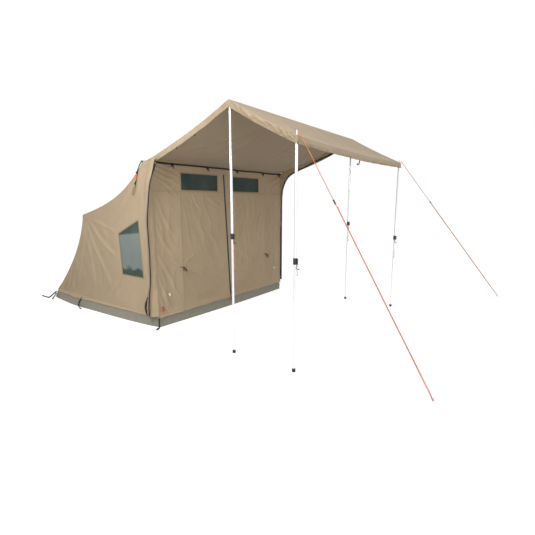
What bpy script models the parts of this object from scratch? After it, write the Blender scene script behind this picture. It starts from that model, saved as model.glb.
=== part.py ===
"""Canvas wall tent with a fold-up frame, an awning on four telescopic poles and two guy lines.

Metres, +Z up. The origin is on the ground at the middle of the front wall's foot.
+X runs to the right along the front wall, +Y runs back into the tent.
"""

import bisect
import math

import bmesh
import bpy
from mathutils import Matrix, Vector

# Cloth
cloth = 0.003
mesh_cloth = 0.0015
gap = 0.0003
hem_lift = 0.003
seam_lead = 0.005
cut_overrun = 0.05

# Tent body
half_width = 1.30
tub_height = 0.12
tub_cloth = 0.004
rear_foot_y = 2.66
rear_hem_y = 2.575
seam_y = 0.08
seam_z = 1.978
shoulder_y = 0.142
shoulder_z = 1.979
rear_top_y = 1.611
rear_top_z = 1.329
roof_lead_share = 0.1
roof_sag = 0.14
roof_sag_lean_share = 0.8
rear_sag = 0.12
rear_sag_lean_share = 0.75
frame_inset = 0.030
side_fold = 0.009
front_fold = 0.010
roof_fold = 0.012
crease_counts = {"roof": 3, "rear": 4, "side": 3, "front": 1, "door": 2, "awning": 3}
crease_lean_shares = {
    "roof": 0.6, "rear": -0.5, "side": 0.8, "front": 1.5, "door": 0.7, "awning": 0.7,
}

# Front wall, doors and windows
left_panel_width = 0.414
right_panel_width = 0.422
door_left_x = left_panel_width - half_width
door_right_x = half_width - right_panel_width
door_top_z = 1.885
zip_foot_x = 0.0
zip_head_x = -0.107
zip_half = 0.014
zip_depth = 0.005
slider_width = 0.018
slider_length = 0.034
slider_depth = 0.009
door_window_low = 1.66
door_window_high = 1.86
left_window_hinge_hem = 0.016
left_window_zip_hem = 0.123
right_window_hinge_hem = 0.198
right_window_zip_hem = 0.147
mesh_lap = 0.012
side_window_front_y = 0.285
side_window_rear_y = 0.715
side_window_low = 0.59
side_window_front_high = 1.29
side_window_rear_high = 1.11
side_window_clear = 0.50

# Awning
awning_overhang = 0.040
awning_seam_overhang = 0.003
awning_half = half_width + awning_overhang
awning_rear_half = half_width + awning_seam_overhang
ridge_y = -1.24
ridge_z = 2.428
eave_y = -1.975
eave_z = 2.045
valance = 0.065
valance_flare = 0.006
rear_slope_sag = 0.04
front_slope_sag = 0.027
awning_mid_sag = 0.030
awning_flat_y = -0.05
awning_widen_y = -0.50
bar_clear = 0.0005
eave_droop = 0.018
valance_start_y = -0.06
awning_fold = 0.010
eyelet_radius = 0.008

# Corner zips for the side panels
corner_zip_radius = 0.006
corner_zip_foot_z = 0.135
corner_flap_out = 0.050
corner_flap_back = 0.070
corner_flap_thick = 0.004
corner_zip_reach_y = -0.93

# Frame
tube_radius = 0.0135
tube_wall = 0.0015
elbow_cells = 6
frame_x = half_width - frame_inset
elbow_radius = 0.055
elbow_lead = 0.010
leg_foot_y = 0.055
pivot_y = 0.105
pivot_z = 0.060
pivot_pin_radius = 0.005
pivot_eye_radius = 0.016
plate_thick = 0.004
bracket_width = 0.044
bracket_length = 0.125
bracket_thick = 0.010
lug_half = 0.014
bracket_front = 0.030
leg_stub = 0.030
arm_tube_start = 0.026
tongue_radius = 0.0085
eye_half = 0.010
stay_boss = 0.003
stay_drop = 0.249
stay_bar_half = 0.010
stay_bar_thick = 0.003
stay_pin_radius = 0.004
rivet_head_radius = 0.008
fold_angle = math.radians(46)

# Awning poles
pole_inset = 0.018
pole_x = awning_half - pole_inset
front_pole_y = -1.957
upper_radius = 0.0125
upper_wall = 0.0012
lower_radius = 0.0108
lower_wall = 0.0012
spigot_radius = 0.005
spigot_length = 0.045
ridge_clamp_z = 1.16
front_clamp_z = 0.985
clamp_height = 0.055
clamp_wall = 0.005
pole_overlap = 0.15
foot_radius = 0.017
foot_height = 0.030
foot_socket = 0.018
lever_length = 0.050
lever_width = 0.012
lever_thick = 0.006
lever_boss = 0.006
lever_pin_radius = 0.002
ear_thick = 0.0025
ear_root = 0.003
upper_cap = 0.002
clamp_step_share = 0.35

# Guy lines
rope_radius = 0.0025
rope_points = 72
runner_length = 0.040
runner_width = 0.016
peg_radius = 0.003
peg_height = 0.045
peg_hook = 0.016
peg_lean = 0.016
peg_clear = 0.0017
peg_turn = 13
runner_turn = 4
guy_left_route = [
    (-1.322, -1.9624, 2.064),
    (-1.321, -1.982, 2.061),
    (-1.318, -1.999, 2.038),
    (-1.293, -2.151, 1.759),
    (-1.266, -2.304, 1.479),
    (-1.240, -2.456, 1.198),
    (-1.214, -2.609, 0.918),
    (-1.188, -2.761, 0.637),
    (-1.163, -2.914, 0.357),
    (-1.149, -3.023, 0.156),
    (-1.136, -3.075, 0.057),
    (-1.1335, -3.0900, 0.026),
    (-1.1315, -3.0998, 0.018),
    (-1.1250, -3.1042, 0.013),
    (-1.1185, -3.0998, 0.018),
    (-1.1165, -3.0900, 0.026),
    (-1.116, -3.075, 0.057),
    (-1.128, -3.023, 0.156),
    (-1.150, -2.914, 0.357),
    (-1.177, -2.761, 0.637),
    (-1.204, -2.609, 0.918),
    (-1.231, -2.456, 1.198),
    (-1.257, -2.304, 1.479),
]
guy_right_route = [
    (1.322, -1.9624, 2.064),
    (1.326, -1.982, 2.061),
    (1.336, -1.999, 2.038),
    (1.543, -2.162, 1.759),
    (1.758, -2.325, 1.479),
    (1.974, -2.489, 1.198),
    (2.190, -2.652, 0.918),
    (2.406, -2.815, 0.637),
    (2.621, -2.978, 0.357),
    (2.776, -3.095, 0.156),
    (2.855, -3.159, 0.057),
    (2.8657, -3.1694, 0.026),
    (2.8748, -3.1733, 0.018),
    (2.8822, -3.1712, 0.013),
    (2.8821, -3.1635, 0.018),
    (2.8759, -3.1558, 0.026),
    (2.867, -3.143, 0.057),
    (2.787, -3.083, 0.156),
    (2.630, -2.968, 0.357),
    (2.413, -2.806, 0.637),
    (2.196, -2.644, 0.918),
    (1.980, -2.481, 1.198),
    (1.764, -2.318, 1.479),
]

# Fineness
roof_cells = 10
width_cells = 10
wall_cells = 10
awning_rear_cells = 9
awning_front_cells = 6
awning_width_cells = 14
turn_steps = 12
smooth_angle = math.radians(40)
mitre_limit_share = 0.5
weld = 0.00005

# Colours, roughness and metallic
finishes = {
    "canvas": ((0.50, 0.38, 0.25), 0.9, 0.0),
    "awning_canvas": ((0.42, 0.33, 0.23), 0.9, 0.0),
    "pvc": ((0.30, 0.28, 0.23), 0.6, 0.0),
    "mesh": ((0.04, 0.07, 0.065), 0.9, 0.0),
    "zip": ((0.02, 0.02, 0.02), 0.6, 0.0),
    "orange": ((0.80, 0.18, 0.07), 0.7, 0.0),
    "aluminium": ((0.80, 0.80, 0.81), 0.35, 1.0),
    "plastic": ((0.03, 0.03, 0.03), 0.5, 0.0),
    "rubber": ((0.025, 0.025, 0.025), 0.8, 0.0),
    "steel": ((0.55, 0.55, 0.56), 0.4, 1.0),
}


def clear_scene():
    for found in list(bpy.data.objects):
        bpy.data.objects.remove(found, do_unlink=True)


def make_collection(name):
    collection = bpy.data.collections.new(name)
    bpy.context.scene.collection.children.link(collection)
    return collection


def make_materials():
    made = {}
    for name, (colour, roughness, metallic) in finishes.items():
        material = bpy.data.materials.new(name)
        material.use_nodes = True
        shader = material.node_tree.nodes["Principled BSDF"]
        shader.inputs["Base Color"].default_value = (*colour, 1)
        shader.inputs["Roughness"].default_value = roughness
        shader.inputs["Metallic"].default_value = metallic
        made[name] = material
    return made


clear_scene()
tent = make_collection("canvas_wall_tent")
cutters = make_collection("cutters")
materials = make_materials()


def add_object(name, data, material):
    made = bpy.data.objects.new(name, data)
    tent.objects.link(made)
    data.materials.append(materials[material])
    return made


def carry(name, place, members):
    """An empty on a joint's axis, which the pieces that move on it hang from."""
    empty = bpy.data.objects.new(name, None)
    empty.location = place
    tent.objects.link(empty)
    bpy.context.view_layer.update()
    for member in members:
        member.parent = empty
        member.matrix_parent_inverse = empty.matrix_world.inverted()


def mesh_from(name, bm):
    mesh = bpy.data.meshes.new(name)
    bm.to_mesh(mesh)
    bm.free()
    return mesh


def shade(made):
    made.data.shade_smooth()
    made.data.set_sharp_from_angle(angle=smooth_angle)
    return made


# Shapes shared by the panels

def hang(start, end, sag, lean_share, share):
    """Point on a line from start to end that sags square to it, deepest nearer the start."""
    along = Vector(end) - Vector(start)
    inward = Vector((along.y, -along.x)).normalized()
    depth = sag * math.sin(math.pi * share**lean_share)
    return Vector(start) + along * share + inward * depth


def roof_line(share):
    """Roof outline (y, z) from the front seam over the shoulder down to the rear top corner."""
    if share < roof_lead_share:
        return Vector((seam_y, seam_z)).lerp(Vector((shoulder_y, shoulder_z)), share / roof_lead_share)
    rest = (share - roof_lead_share) / (1 - roof_lead_share)
    cosine = (rear_top_y - shoulder_y) / math.hypot(rear_top_y - shoulder_y, shoulder_z - rear_top_z)
    depth = roof_sag * cosine
    return hang((shoulder_y, shoulder_z), (rear_top_y, rear_top_z), depth, roof_sag_lean_share, rest)


def rear_line(share):
    """Rear wall outline (y, z) from the rear top corner down to the tub."""
    foot = (rear_hem_y, tub_height + gap)
    return hang((rear_top_y, rear_top_z), foot, rear_sag, rear_sag_lean_share, share)


def awning_line(y):
    """Height of the awning's top face at its side edge."""
    if y > ridge_y:
        share = (seam_y - y) / (seam_y - ridge_y)
        return seam_z + (ridge_z - seam_z) * share - rear_slope_sag * math.sin(math.pi * share)
    share = (ridge_y - y) / (ridge_y - eave_y)
    return ridge_z + (eave_z - ridge_z) * share - front_slope_sag * math.sin(math.pi * share)


def inset_line(points, depth):
    """The same open outline moved square to itself by depth, with mitred corners."""
    moved = []
    for i, point in enumerate(points):
        before = points[max(i - 1, 0)]
        after = points[min(i + 1, len(points) - 1)]
        first = (point - before) if i else (after - point)
        second = (after - point) if i < len(points) - 1 else first
        first.normalize()
        second.normalize()
        half = (first + second).normalized()
        square = Vector((half.y, -half.x))
        moved.append(point + square * (depth / max(half.dot(first), mitre_limit_share)))
    return moved


def ramp(value, low, high):
    t = min(max((value - low) / (high - low), 0), 1)
    return t * t * (3 - 2 * t)


def spread(low, high, cells):
    return [low + (high - low) * i / cells for i in range(cells + 1)]


def panel(name, us, vs, place, material, thick=cloth, open_at=None):
    """A sheet over the stations us and vs, thickened away from its outer face."""
    bm = bmesh.new()
    columns = len(us) - 1
    rows = len(vs) - 1
    bmesh.ops.create_grid(bm, x_segments=columns, y_segments=rows, size=1)
    for vertex in bm.verts:
        i = round((vertex.co.x + 1) / 2 * columns)
        j = round((vertex.co.y + 1) / 2 * rows)
        vertex.co.z = i * (rows + 1) + j
    for face in list(bm.faces):
        keys = [round(vertex.co.z) for vertex in face.verts]
        i = min(key // (rows + 1) for key in keys)
        j = min(key % (rows + 1) for key in keys)
        if open_at and open_at((us[i] + us[i + 1]) / 2, (vs[j] + vs[j + 1]) / 2):
            bm.faces.remove(face)
    for vertex in list(bm.verts):
        key = round(vertex.co.z)
        vertex.co = place(us[key // (rows + 1)], vs[key % (rows + 1)])
        if not vertex.link_faces:
            bm.verts.remove(vertex)
    loose = [edge for edge in bm.edges if not edge.link_faces]
    bmesh.ops.delete(bm, geom=loose, context="EDGES")
    bmesh.ops.remove_doubles(bm, verts=bm.verts, dist=gap / 3)
    made = add_object(name, mesh_from(name, bm), material)
    wall = made.modifiers.new("thickness", "SOLIDIFY")
    wall.thickness = thick
    wall.offset = -1
    wall.use_even_offset = True
    return shade(made)


def cut(made, cutter):
    cutter.hide_render = True
    cutter.display_type = "WIRE"
    modifier = made.modifiers.new("cut_" + cutter.name, "BOOLEAN")
    modifier.operation = "DIFFERENCE"
    modifier.solver = "EXACT"
    modifier.object = cutter


def join(made, other):
    """Joins a hidden helper to a piece by a Boolean union."""
    tent.objects.unlink(other)
    cutters.objects.link(other)
    other.hide_render = True
    other.display_type = "WIRE"
    modifier = made.modifiers.new("join_" + other.name, "BOOLEAN")
    modifier.operation = "UNION"
    modifier.solver = "EXACT"
    modifier.object = other


def cube_between(name, low, high, material, bevel=0.0):
    """A box from its low to its high corner."""
    bm = bmesh.new()
    bmesh.ops.create_cube(bm, size=1)
    low = Vector(low)
    high = Vector(high)
    middle = (low + high) / 2
    for vertex in bm.verts:
        vertex.co = Vector(a * b for a, b in zip(vertex.co, high - low))
    made = add_object(name, mesh_from(name, bm), material)
    made.location = middle
    if bevel:
        rounding = made.modifiers.new("rounding", "BEVEL")
        rounding.width = bevel
        rounding.segments = 1
        rounding.limit_method = "ANGLE"
    return made


def turned(name, profile, material, place=Matrix()):
    """A profile of (radius, height) points turned about the local Z axis."""
    mesh = bpy.data.meshes.new(name)
    closed = profile[0][0] > 0
    points = [(radius, 0, height) for radius, height in profile]
    edges = [(i, i + 1) for i in range(len(points) - 1)]
    if closed:
        edges.append((len(points) - 1, 0))
    mesh.from_pydata(points, edges, [])
    made = add_object(name, mesh, material)
    made.matrix_world = place
    screw = made.modifiers.new("turn", "SCREW")
    screw.steps = turn_steps
    screw.render_steps = turn_steps
    screw.use_merge_vertices = True
    screw.merge_threshold = weld
    screw.use_smooth_shade = True
    return made


def rod_profile(radius, low, high):
    return [(0, high), (radius, high), (radius, low), (0, low)]


def along_x(x, y, z):
    """Turns a local Z axis to point along +X from a place."""
    return Matrix.Translation((x, y, z)) @ Matrix.Rotation(math.radians(90), 4, "Y")


def tube_path(name, points, radius, material, resolution=2):
    """A round bar along points, with filled caps."""
    curve = bpy.data.curves.new(name, "CURVE")
    curve.dimensions = "3D"
    curve.bevel_depth = radius
    curve.bevel_resolution = resolution
    curve.use_fill_caps = True
    spline = curve.splines.new("POLY")
    spline.points.add(len(points) - 1)
    for slot, point in zip(spline.points, points):
        slot.co = (*point, 1)
    return add_object(name, curve, material)


def corner_point(before, corner, after, depth):
    """Centre of a bar that lies under both faces of a corner, depth below each."""
    return inset_line([before, corner, after], depth)[1]


def smooth_route(route, count):
    """Points read from a smooth curve through a route's own points."""
    nodes = [Vector(p) for p in route]
    steps = [(b - a).length ** 0.5 for a, b in zip(nodes, nodes[1:])]
    knots = [0.0]
    for step in steps:
        knots.append(knots[-1] + step)
    read = []
    for n in range(count):
        t = knots[-1] * n / (count - 1)
        i = min(bisect.bisect_right(knots, t), len(nodes) - 1) - 1
        p1, p2 = nodes[i], nodes[i + 1]
        width = knots[i + 1] - knots[i]
        m1 = (p2 - p1) / width
        m2 = m1.copy()
        if i:
            m1 = (p2 - nodes[i - 1]) / (knots[i + 1] - knots[i - 1])
        if i + 2 < len(nodes):
            m2 = (nodes[i + 2] - p1) / (knots[i + 2] - knots[i])
        s = (t - knots[i]) / width
        a = 2 * s**3 - 3 * s**2 + 1
        b = s**3 - 2 * s**2 + s
        read.append(p1 * a + m1 * (b * width) + p2 * (1 - a) + m2 * ((s**3 - s**2) * width))
    return read


# Outlines that several pieces follow

sides = {"left": -1, "right": 1}
wall_low = tub_height + gap
roof_points = [roof_line(share) for share in spread(0, 1, roof_cells)]
rear_points = [rear_line(share) for share in spread(0, 1, wall_cells)]
awning_slope = math.atan2(awning_line(0) - awning_line(seam_y), seam_y)
front_top_z = awning_line(cloth) - cloth / math.cos(awning_slope) - gap
front_edge = Vector((cloth + gap, awning_line(cloth + gap)))
body_inset = inset_line([front_edge] + roof_points + rear_points[1:], cloth + gap)
body_inset[0] = Vector((cloth + gap, front_top_z))
side_top = body_inset[:len(roof_points) + 1]
side_rear = body_inset[len(roof_points):]
side_rear[-1] = Vector((side_rear[-1].x, wall_low))


def folds(across, up, panel_kind):
    """Soft creases, 0 to 1, that run down a sheet and lean with its height."""
    turns = crease_counts[panel_kind] * across + crease_lean_shares[panel_kind] * up
    return (1 - math.cos(2 * math.pi * turns)) / 2


def hump(share):
    return math.sin(math.pi * min(max(share, 0), 1)) ** 2


# Groundsheet

def make_groundsheet():
    bm = bmesh.new()
    bmesh.ops.create_cube(bm, size=2)
    top = [face for face in bm.faces if face.normal.z > 0]
    for vertex in bm.verts:
        high = vertex.co.z > 0
        rear = vertex.co.y > 0
        y = (rear_hem_y if high else rear_foot_y) if rear else 0
        vertex.co = (vertex.co.x * half_width, y, tub_height if high else 0)
    bmesh.ops.delete(bm, geom=top, context="FACES_ONLY")
    made = add_object("groundsheet", mesh_from("groundsheet", bm), "pvc")
    wall = made.modifiers.new("thickness", "SOLIDIFY")
    wall.thickness = tub_cloth
    wall.offset = -1
    wall.use_even_offset = True


# Tent body

def make_roof():
    def place(x, index):
        y, z = roof_points[index]
        share = index / roof_cells
        across = (x / half_width + 1) / 2
        behind = hump((share - roof_lead_share) / (1 - roof_lead_share))
        drop = roof_fold * hump(across) * behind * folds(across, share, "roof")
        return (x, y, z - drop)

    us = spread(-half_width, half_width, width_cells)
    panel("roof", us, list(range(roof_cells + 1)), place, "canvas")


def make_rear_wall():
    first = (rear_points[1] - rear_points[0]).length
    lead_share = seam_lead / first
    points = [rear_points[0].lerp(rear_points[1], lead_share)] + rear_points[1:]
    points[-1] = Vector((points[-1].x, points[-1].y + hem_lift))

    def place(x, index):
        y, z = points[index]
        share = index / wall_cells
        across = (x / half_width + 1) / 2
        push = roof_fold * hump(across) * hump(share) * folds(across, share, "rear")
        return (x, y - push, z - push)

    us = spread(-half_width, half_width, width_cells)
    panel("rear_wall", us, list(range(wall_cells + 1)), place, "canvas")


def side_place(side):
    """Position on a side wall, blended between its four edges."""
    rows = wall_cells
    columns = len(side_top) - 1
    front_low = Vector((side_top[0].x, wall_low))

    def place(column, row):
        u = column / columns
        v = row / rows
        low = front_low.lerp(side_rear[-1], u)
        high = side_top[column]
        front = front_low.lerp(side_top[0], v)
        rear = side_rear[rows - row]
        corners = (
            front_low * (1 - u) * (1 - v) + side_rear[-1] * u * (1 - v)
            + side_top[0] * (1 - u) * v + side_top[-1] * u * v
        )
        y, z = low * (1 - v) + high * v + front * (1 - u) + rear * u - corners
        away = max(
            side_window_front_y - y, y - side_window_rear_y,
            side_window_low - z, z - side_window_front_high, 0,
        )
        inward = side_fold * hump(u) * hump(v) * folds(u, v, "side")
        inward *= ramp(away, side_window_clear / 2, side_window_clear)
        return (side * (half_width - inward), y, z)

    return place


def window_corners(lap):
    """Corners (y, z) of the side window, moved outwards by a lap."""
    return {
        (0, 0): (side_window_front_y - lap, side_window_low - lap),
        (1, 0): (side_window_rear_y + lap, side_window_low - lap),
        (0, 1): (side_window_front_y - lap, side_window_front_high + lap),
        (1, 1): (side_window_rear_y + lap, side_window_rear_high + lap),
    }


def window_block(name, side):
    """A block the shape of the side window, deep enough to cut the wall."""
    corners = window_corners(0)
    bm = bmesh.new()
    bmesh.ops.create_cube(bm, size=2)
    for vertex in bm.verts:
        y, z = corners[(int(vertex.co.y > 0), int(vertex.co.z > 0))]
        vertex.co = (side * half_width + vertex.co.x * cut_overrun, y, z)
    made = bpy.data.objects.new(name, mesh_from(name, bm))
    cutters.objects.link(made)
    return made


def make_side(word, side):
    columns = list(range(len(side_top)))
    if side < 0:
        columns.reverse()
    wall = panel(
        "side_wall_" + word, columns, list(range(wall_cells + 1)), side_place(side), "canvas"
    )
    cut(wall, window_block("window_cut_" + word, side))
    corners = window_corners(mesh_lap)
    inner = half_width - cloth - gap

    def place(u, v):
        low = Vector(corners[(0, 0)]).lerp(Vector(corners[(1, 0)]), u)
        high = Vector(corners[(0, 1)]).lerp(Vector(corners[(1, 1)]), u)
        y, z = low.lerp(high, v)
        return (side * inner, y, z)

    us = spread(0, 1, 2) if side > 0 else spread(1, 0, 2)
    panel("side_mesh_" + word, us, spread(0, 1, 2), place, "mesh", mesh_cloth)


def make_front_wall():
    us = spread(-half_width, door_left_x, 3) + spread(door_left_x, door_right_x, 6)[1:]
    us += spread(door_right_x, half_width, 3)[1:]
    vs = spread(wall_low, door_top_z, 8) + [front_top_z]

    def place(x, z):
        edge = door_left_x if x < 0 else door_right_x
        across = (abs(x) - abs(edge)) / (half_width - abs(edge))
        up = (z - wall_low) / (front_top_z - wall_low)
        inward = front_fold * hump(across) * hump(up) * folds(across, up, "front")
        return (x, inward, z)

    def doorway(x, z):
        return door_left_x < x < door_right_x and z < door_top_z

    panel("front_wall", us, vs, place, "canvas", cloth, doorway)


def zip_x(z):
    share = (z - wall_low) / (door_top_z - wall_low)
    return zip_foot_x + (zip_head_x - zip_foot_x) * share


def make_door(word, hinge_x, hinge_hem, zip_hem, side):
    """A door from its hinge line to the zip, with a mesh window near its top."""
    window_xs = sorted((hinge_x - side * hinge_hem, zip_head_x + side * zip_hem))
    low = wall_low + gap
    high = door_top_z - gap
    vs = spread(low, door_window_low, 6) + [door_window_high, high]
    middle_z = (door_window_low + door_window_high) / 2

    def zip_side(z):
        return zip_x(z) + side * (zip_half + gap)

    start = hinge_x - side * gap
    span = zip_side(middle_z) - start
    shares = sorted((x - start) / span for x in window_xs)
    us = [0] + spread(shares[0], shares[1], 4) + [1]
    if side > 0:
        us.reverse()

    def place(u, z):
        x = start + (zip_side(z) - start) * u
        up = (z - low) / (door_window_low - low)
        inward = front_fold * hump(u) * hump(up) * folds(u, up, "door")
        return (x, inward, z)

    def window(u, z):
        return shares[0] < u < shares[1] and door_window_low < z < door_window_high

    door = panel("door_" + word, us, vs, place, "canvas", cloth, window)

    def mesh_place(x, z):
        return (x, cloth + gap, z)

    xs = spread(window_xs[0] - mesh_lap, window_xs[1] + mesh_lap, 2)
    zs = [door_window_low - mesh_lap, door_window_high + mesh_lap]
    mesh = panel("door_mesh_" + word, xs, zs, mesh_place, "mesh", mesh_cloth)
    carry("door_hinge_" + word, (hinge_x, 0, 0), [door, mesh])


make_groundsheet()
make_roof()
make_rear_wall()
for word, side in sides.items():
    make_side(word, side)
make_front_wall()
make_door("left", door_left_x, left_window_hinge_hem, left_window_zip_hem, -1)
make_door("right", door_right_x, right_window_hinge_hem, right_window_zip_hem, 1)


# Awning

def awning_half_at(y):
    return awning_half + (awning_rear_half - awning_half) * ramp(y, awning_widen_y, seam_y)


def awning_top(x, y):
    """Height of the awning's top face, with its sag between the poles and its creases."""
    across = min(abs(x) / awning_half_at(y), 1)
    if y > ridge_y:
        share = (awning_flat_y - y) / (awning_flat_y - ridge_y)
    else:
        share = (ridge_y - y) / (ridge_y - eave_y)
    share = min(max(share, 0), 1)
    middle = 1 - across**2
    drop = awning_mid_sag * middle * math.sin(math.pi * share)
    drop += awning_fold * middle * hump(share) * folds((x / awning_half + 1) / 2, share, "awning")
    if y < ridge_y:
        drop += eave_droop * middle * share
    return awning_line(y) - drop


def awning_stations():
    rear = [seam_y - gap, 0, awning_flat_y]
    rear += spread(awning_flat_y, ridge_y, awning_rear_cells)[1:]
    return rear + spread(ridge_y, eave_y, awning_front_cells)[1:]


awning_ys = awning_stations()


def make_awning():
    last = len(awning_ys)
    columns = awning_width_cells + 2
    first_valance = awning_ys.index(awning_flat_y)

    def place(column, row):
        y = awning_ys[min(row, last - 1)]
        half = awning_half_at(y)
        share = min(max((column - 1) / awning_width_cells, 0), 1)
        x = half * (1 - 2 * share)
        z = awning_top(x, y)
        beside = column in (0, columns)
        beyond = row == last
        if beside:
            x += math.copysign(valance_flare, x)
        if beyond:
            y -= valance_flare
            x += math.copysign(valance_flare, x) if share in (0, 1) and not beside else 0
        if beside and y < eave_y + gap and not beyond:
            y -= valance_flare
        return (x, y, z - (valance if beside or beyond else 0))

    def skipped(column, row):
        beside = column < 1 or column > columns - 1
        return beside and (row < first_valance or row > last - 1)

    made = panel(
        "awning", list(range(columns + 1)), list(range(last + 1)), place, "awning_canvas",
        cloth, skipped,
    )
    for word, side in sides.items():
        bm = bmesh.new()
        bmesh.ops.create_cone(
            bm, cap_ends=True, segments=turn_steps, radius1=eyelet_radius, radius2=eyelet_radius,
            depth=2 * cut_overrun,
        )
        eyelet = bpy.data.objects.new("eyelet_" + word, mesh_from("eyelet_" + word, bm))
        eyelet.location = (side * pole_x, front_pole_y, awning_line(front_pole_y))
        cutters.objects.link(eyelet)
        cut(made, eyelet)


make_awning()


# Zips

def corner_flap(side):
    """The strip that stands off the front corner and carries half of the corner zip."""
    depth = corner_flap_thick * corner_flap_back / math.hypot(corner_flap_out, corner_flap_back)

    def place(u, z):
        x = half_width + gap + depth + corner_flap_out * u
        y = gap + corner_flap_back * u
        return (side * x, y, z)

    zs = spread(corner_zip_foot_z, front_top_z - valance, wall_cells)
    us = [0, 1] if side > 0 else [1, 0]
    return us, zs, place


def make_zips():
    us, zs, place = corner_flap(-1)
    panel("edge_zip_left", us, zs, place, "zip", corner_flap_thick)
    x = half_width - corner_zip_radius
    y = -corner_zip_radius
    under = front_top_z - valance
    points = [(x, y, z) for z in spread(corner_zip_foot_z, under, 4)]
    inner = awning_rear_half - cloth - corner_zip_radius - valance_flare
    for y in spread(awning_flat_y, corner_zip_reach_y, 8):
        height = awning_line(y) - cloth / math.cos(awning_slope)
        across = awning_half_at(y) - awning_half_at(awning_flat_y)
        points.append((inner + across, y, height - corner_zip_radius * 2 - valance / 2))
    tube_path("edge_zip_right", points, corner_zip_radius, "zip", 1)

    def zip_place(u, z):
        return (zip_x(z) + u, -gap, z)

    low = wall_low + gap
    high = door_top_z - gap
    coil = panel("door_zip", [-zip_half, zip_half], spread(low, high, 2), zip_place, "zip", zip_depth)
    foot = wall_low + 2 * gap
    lean = math.atan2(zip_head_x - zip_foot_x, door_top_z - wall_low)
    slider = cube_between(
        "door_zip_slider",
        (-slider_width / 2, -slider_depth / 2, -slider_length / 2),
        (slider_width / 2, slider_depth / 2, slider_length / 2),
        "orange", slider_depth / 5,
    )
    slider.location = (zip_x(foot + slider_length), -2 * gap - slider_depth / 2, foot + slider_length)
    slider.rotation_euler = (0, lean, 0)
    carry("door_zip_line", (door_left_x, 0, 0), [coil, slider])


make_zips()


# Frame

def between(start, end, roll=0.0):
    """Turns a local Z axis to run from start to end."""
    along = Vector(end) - Vector(start)
    turn = along.to_track_quat("Z", "Y").to_matrix().to_4x4()
    return Matrix.Translation(start) @ turn @ Matrix.Rotation(roll, 4, "Z")


def ring_profile(outer, inner, low, high):
    return [(outer, high), (outer, low), (inner, low), (inner, high)]


def tube_between(name, start, end, outer, wall, material):
    length = (Vector(end) - Vector(start)).length
    return turned(name, ring_profile(outer, outer - wall, 0, length), material, between(start, end))


def as_closed_mesh(source):
    """Replaces a piece by its evaluated mesh with welded caps, so that it can be joined or cut."""
    bpy.context.view_layer.update()
    graph = bpy.context.evaluated_depsgraph_get()
    mesh = bpy.data.meshes.new_from_object(source.evaluated_get(graph))
    bm = bmesh.new()
    bm.from_mesh(mesh)
    bmesh.ops.remove_doubles(bm, verts=bm.verts, dist=gap / 10)
    bmesh.ops.recalc_face_normals(bm, faces=bm.faces)
    bm.to_mesh(mesh)
    bm.free()
    name = source.name
    matrix = source.matrix_world.copy()
    material = source.data.materials[0].name
    bpy.data.objects.remove(source, do_unlink=True)
    mesh.materials.clear()
    made = add_object(name, mesh, material)
    made.matrix_world = matrix
    return made


bar_depth = cloth + gap + bar_clear + tube_radius
shoulder_index = next(i for i, p in enumerate(roof_points) if p.x > shoulder_y - gap)
front_bar = corner_point(
    roof_points[shoulder_index - 1], roof_points[shoulder_index], roof_points[shoulder_index + 1],
    bar_depth,
)
rear_bar = corner_point(roof_points[-2], roof_points[-1], rear_points[1], bar_depth)
leg_base = Vector((leg_foot_y, tub_cloth + 2 * gap + bracket_thick))
pivot = Vector((pivot_y, pivot_z))
leg_dir = (front_bar - leg_base).normalized()
arm_dir = (rear_bar - pivot).normalized()


def at(side, point, x=frame_x):
    """A (y, z) point in space at a distance x from the middle plane."""
    return Vector((side * x, point.x, point.y))


def make_hoop_top(name, bar, direction):
    """The cross bar of a hoop, and the elbows that join it to the side tubes."""
    reach = frame_x - elbow_radius - gap
    made = [tube_between(
        name, at(-1, bar, reach), at(1, bar, reach), tube_radius, tube_wall, "aluminium"
    )]
    down = Vector((0, direction.x, direction.y))
    for word, side in sides.items():
        corner = at(side, bar)
        bend = elbow_radius - elbow_lead
        centre = corner - down * bend - Vector((side * bend, 0, 0))
        points = [corner - down * elbow_radius]
        for step in range(elbow_cells + 1):
            angle = math.pi / 2 * step / elbow_cells
            out = Vector((side * math.cos(angle), 0, 0)) + down * math.sin(angle)
            points.append(centre + out * bend)
        points.append(corner - Vector((side * elbow_radius, 0, 0)))
        elbow = name.replace("top_bar", "corner") + "_" + word
        made.append(tube_path(elbow, points, tube_radius, "plastic"))
    return made


def on_line(start, direction, centre, radius):
    """The far point of a line that lies at a radius from a centre."""
    offset = start - centre
    half = offset.dot(direction)
    return start + direction * (-half + math.sqrt(half**2 - offset.length_squared + radius**2))


stay_radius = (rear_bar - pivot).length - stay_drop
leg_pin = on_line(leg_base, leg_dir, pivot, stay_radius)
arm_pin = pivot + arm_dir * stay_radius
knee = leg_pin.lerp(arm_pin, 0.5)
boss_face = frame_x - tube_radius - stay_boss
link_faces = [boss_face - gap, boss_face - gap - stay_bar_thick]
rear_link_faces = [link_faces[1] - gap, link_faces[1] - gap - stay_bar_thick]


def round_x(name, side, point, radius, inner_x, outer_x, material):
    """A round piece along X between two distances from the middle plane."""
    length = outer_x - inner_x
    start = at(side, point, inner_x if side > 0 else outer_x)
    return turned(name, rod_profile(radius, 0, length), material, along_x(*start))


def make_leg(word, side):
    leg = tube_between(
        "front_leg_" + word, at(side, leg_base + leg_dir * gap),
        at(side, front_bar - leg_dir * (elbow_radius + gap)), tube_radius, tube_wall, "aluminium",
    )
    join(leg, round_x(
        "leg_boss_" + word, side, leg_pin, rivet_head_radius, boss_face,
        frame_x - tube_radius + tube_wall / 2, "aluminium",
    ))
    join(leg, round_x(
        "leg_pin_" + word, side, leg_pin, stay_pin_radius, link_faces[1],
        boss_face + stay_boss, "aluminium",
    ))


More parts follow.
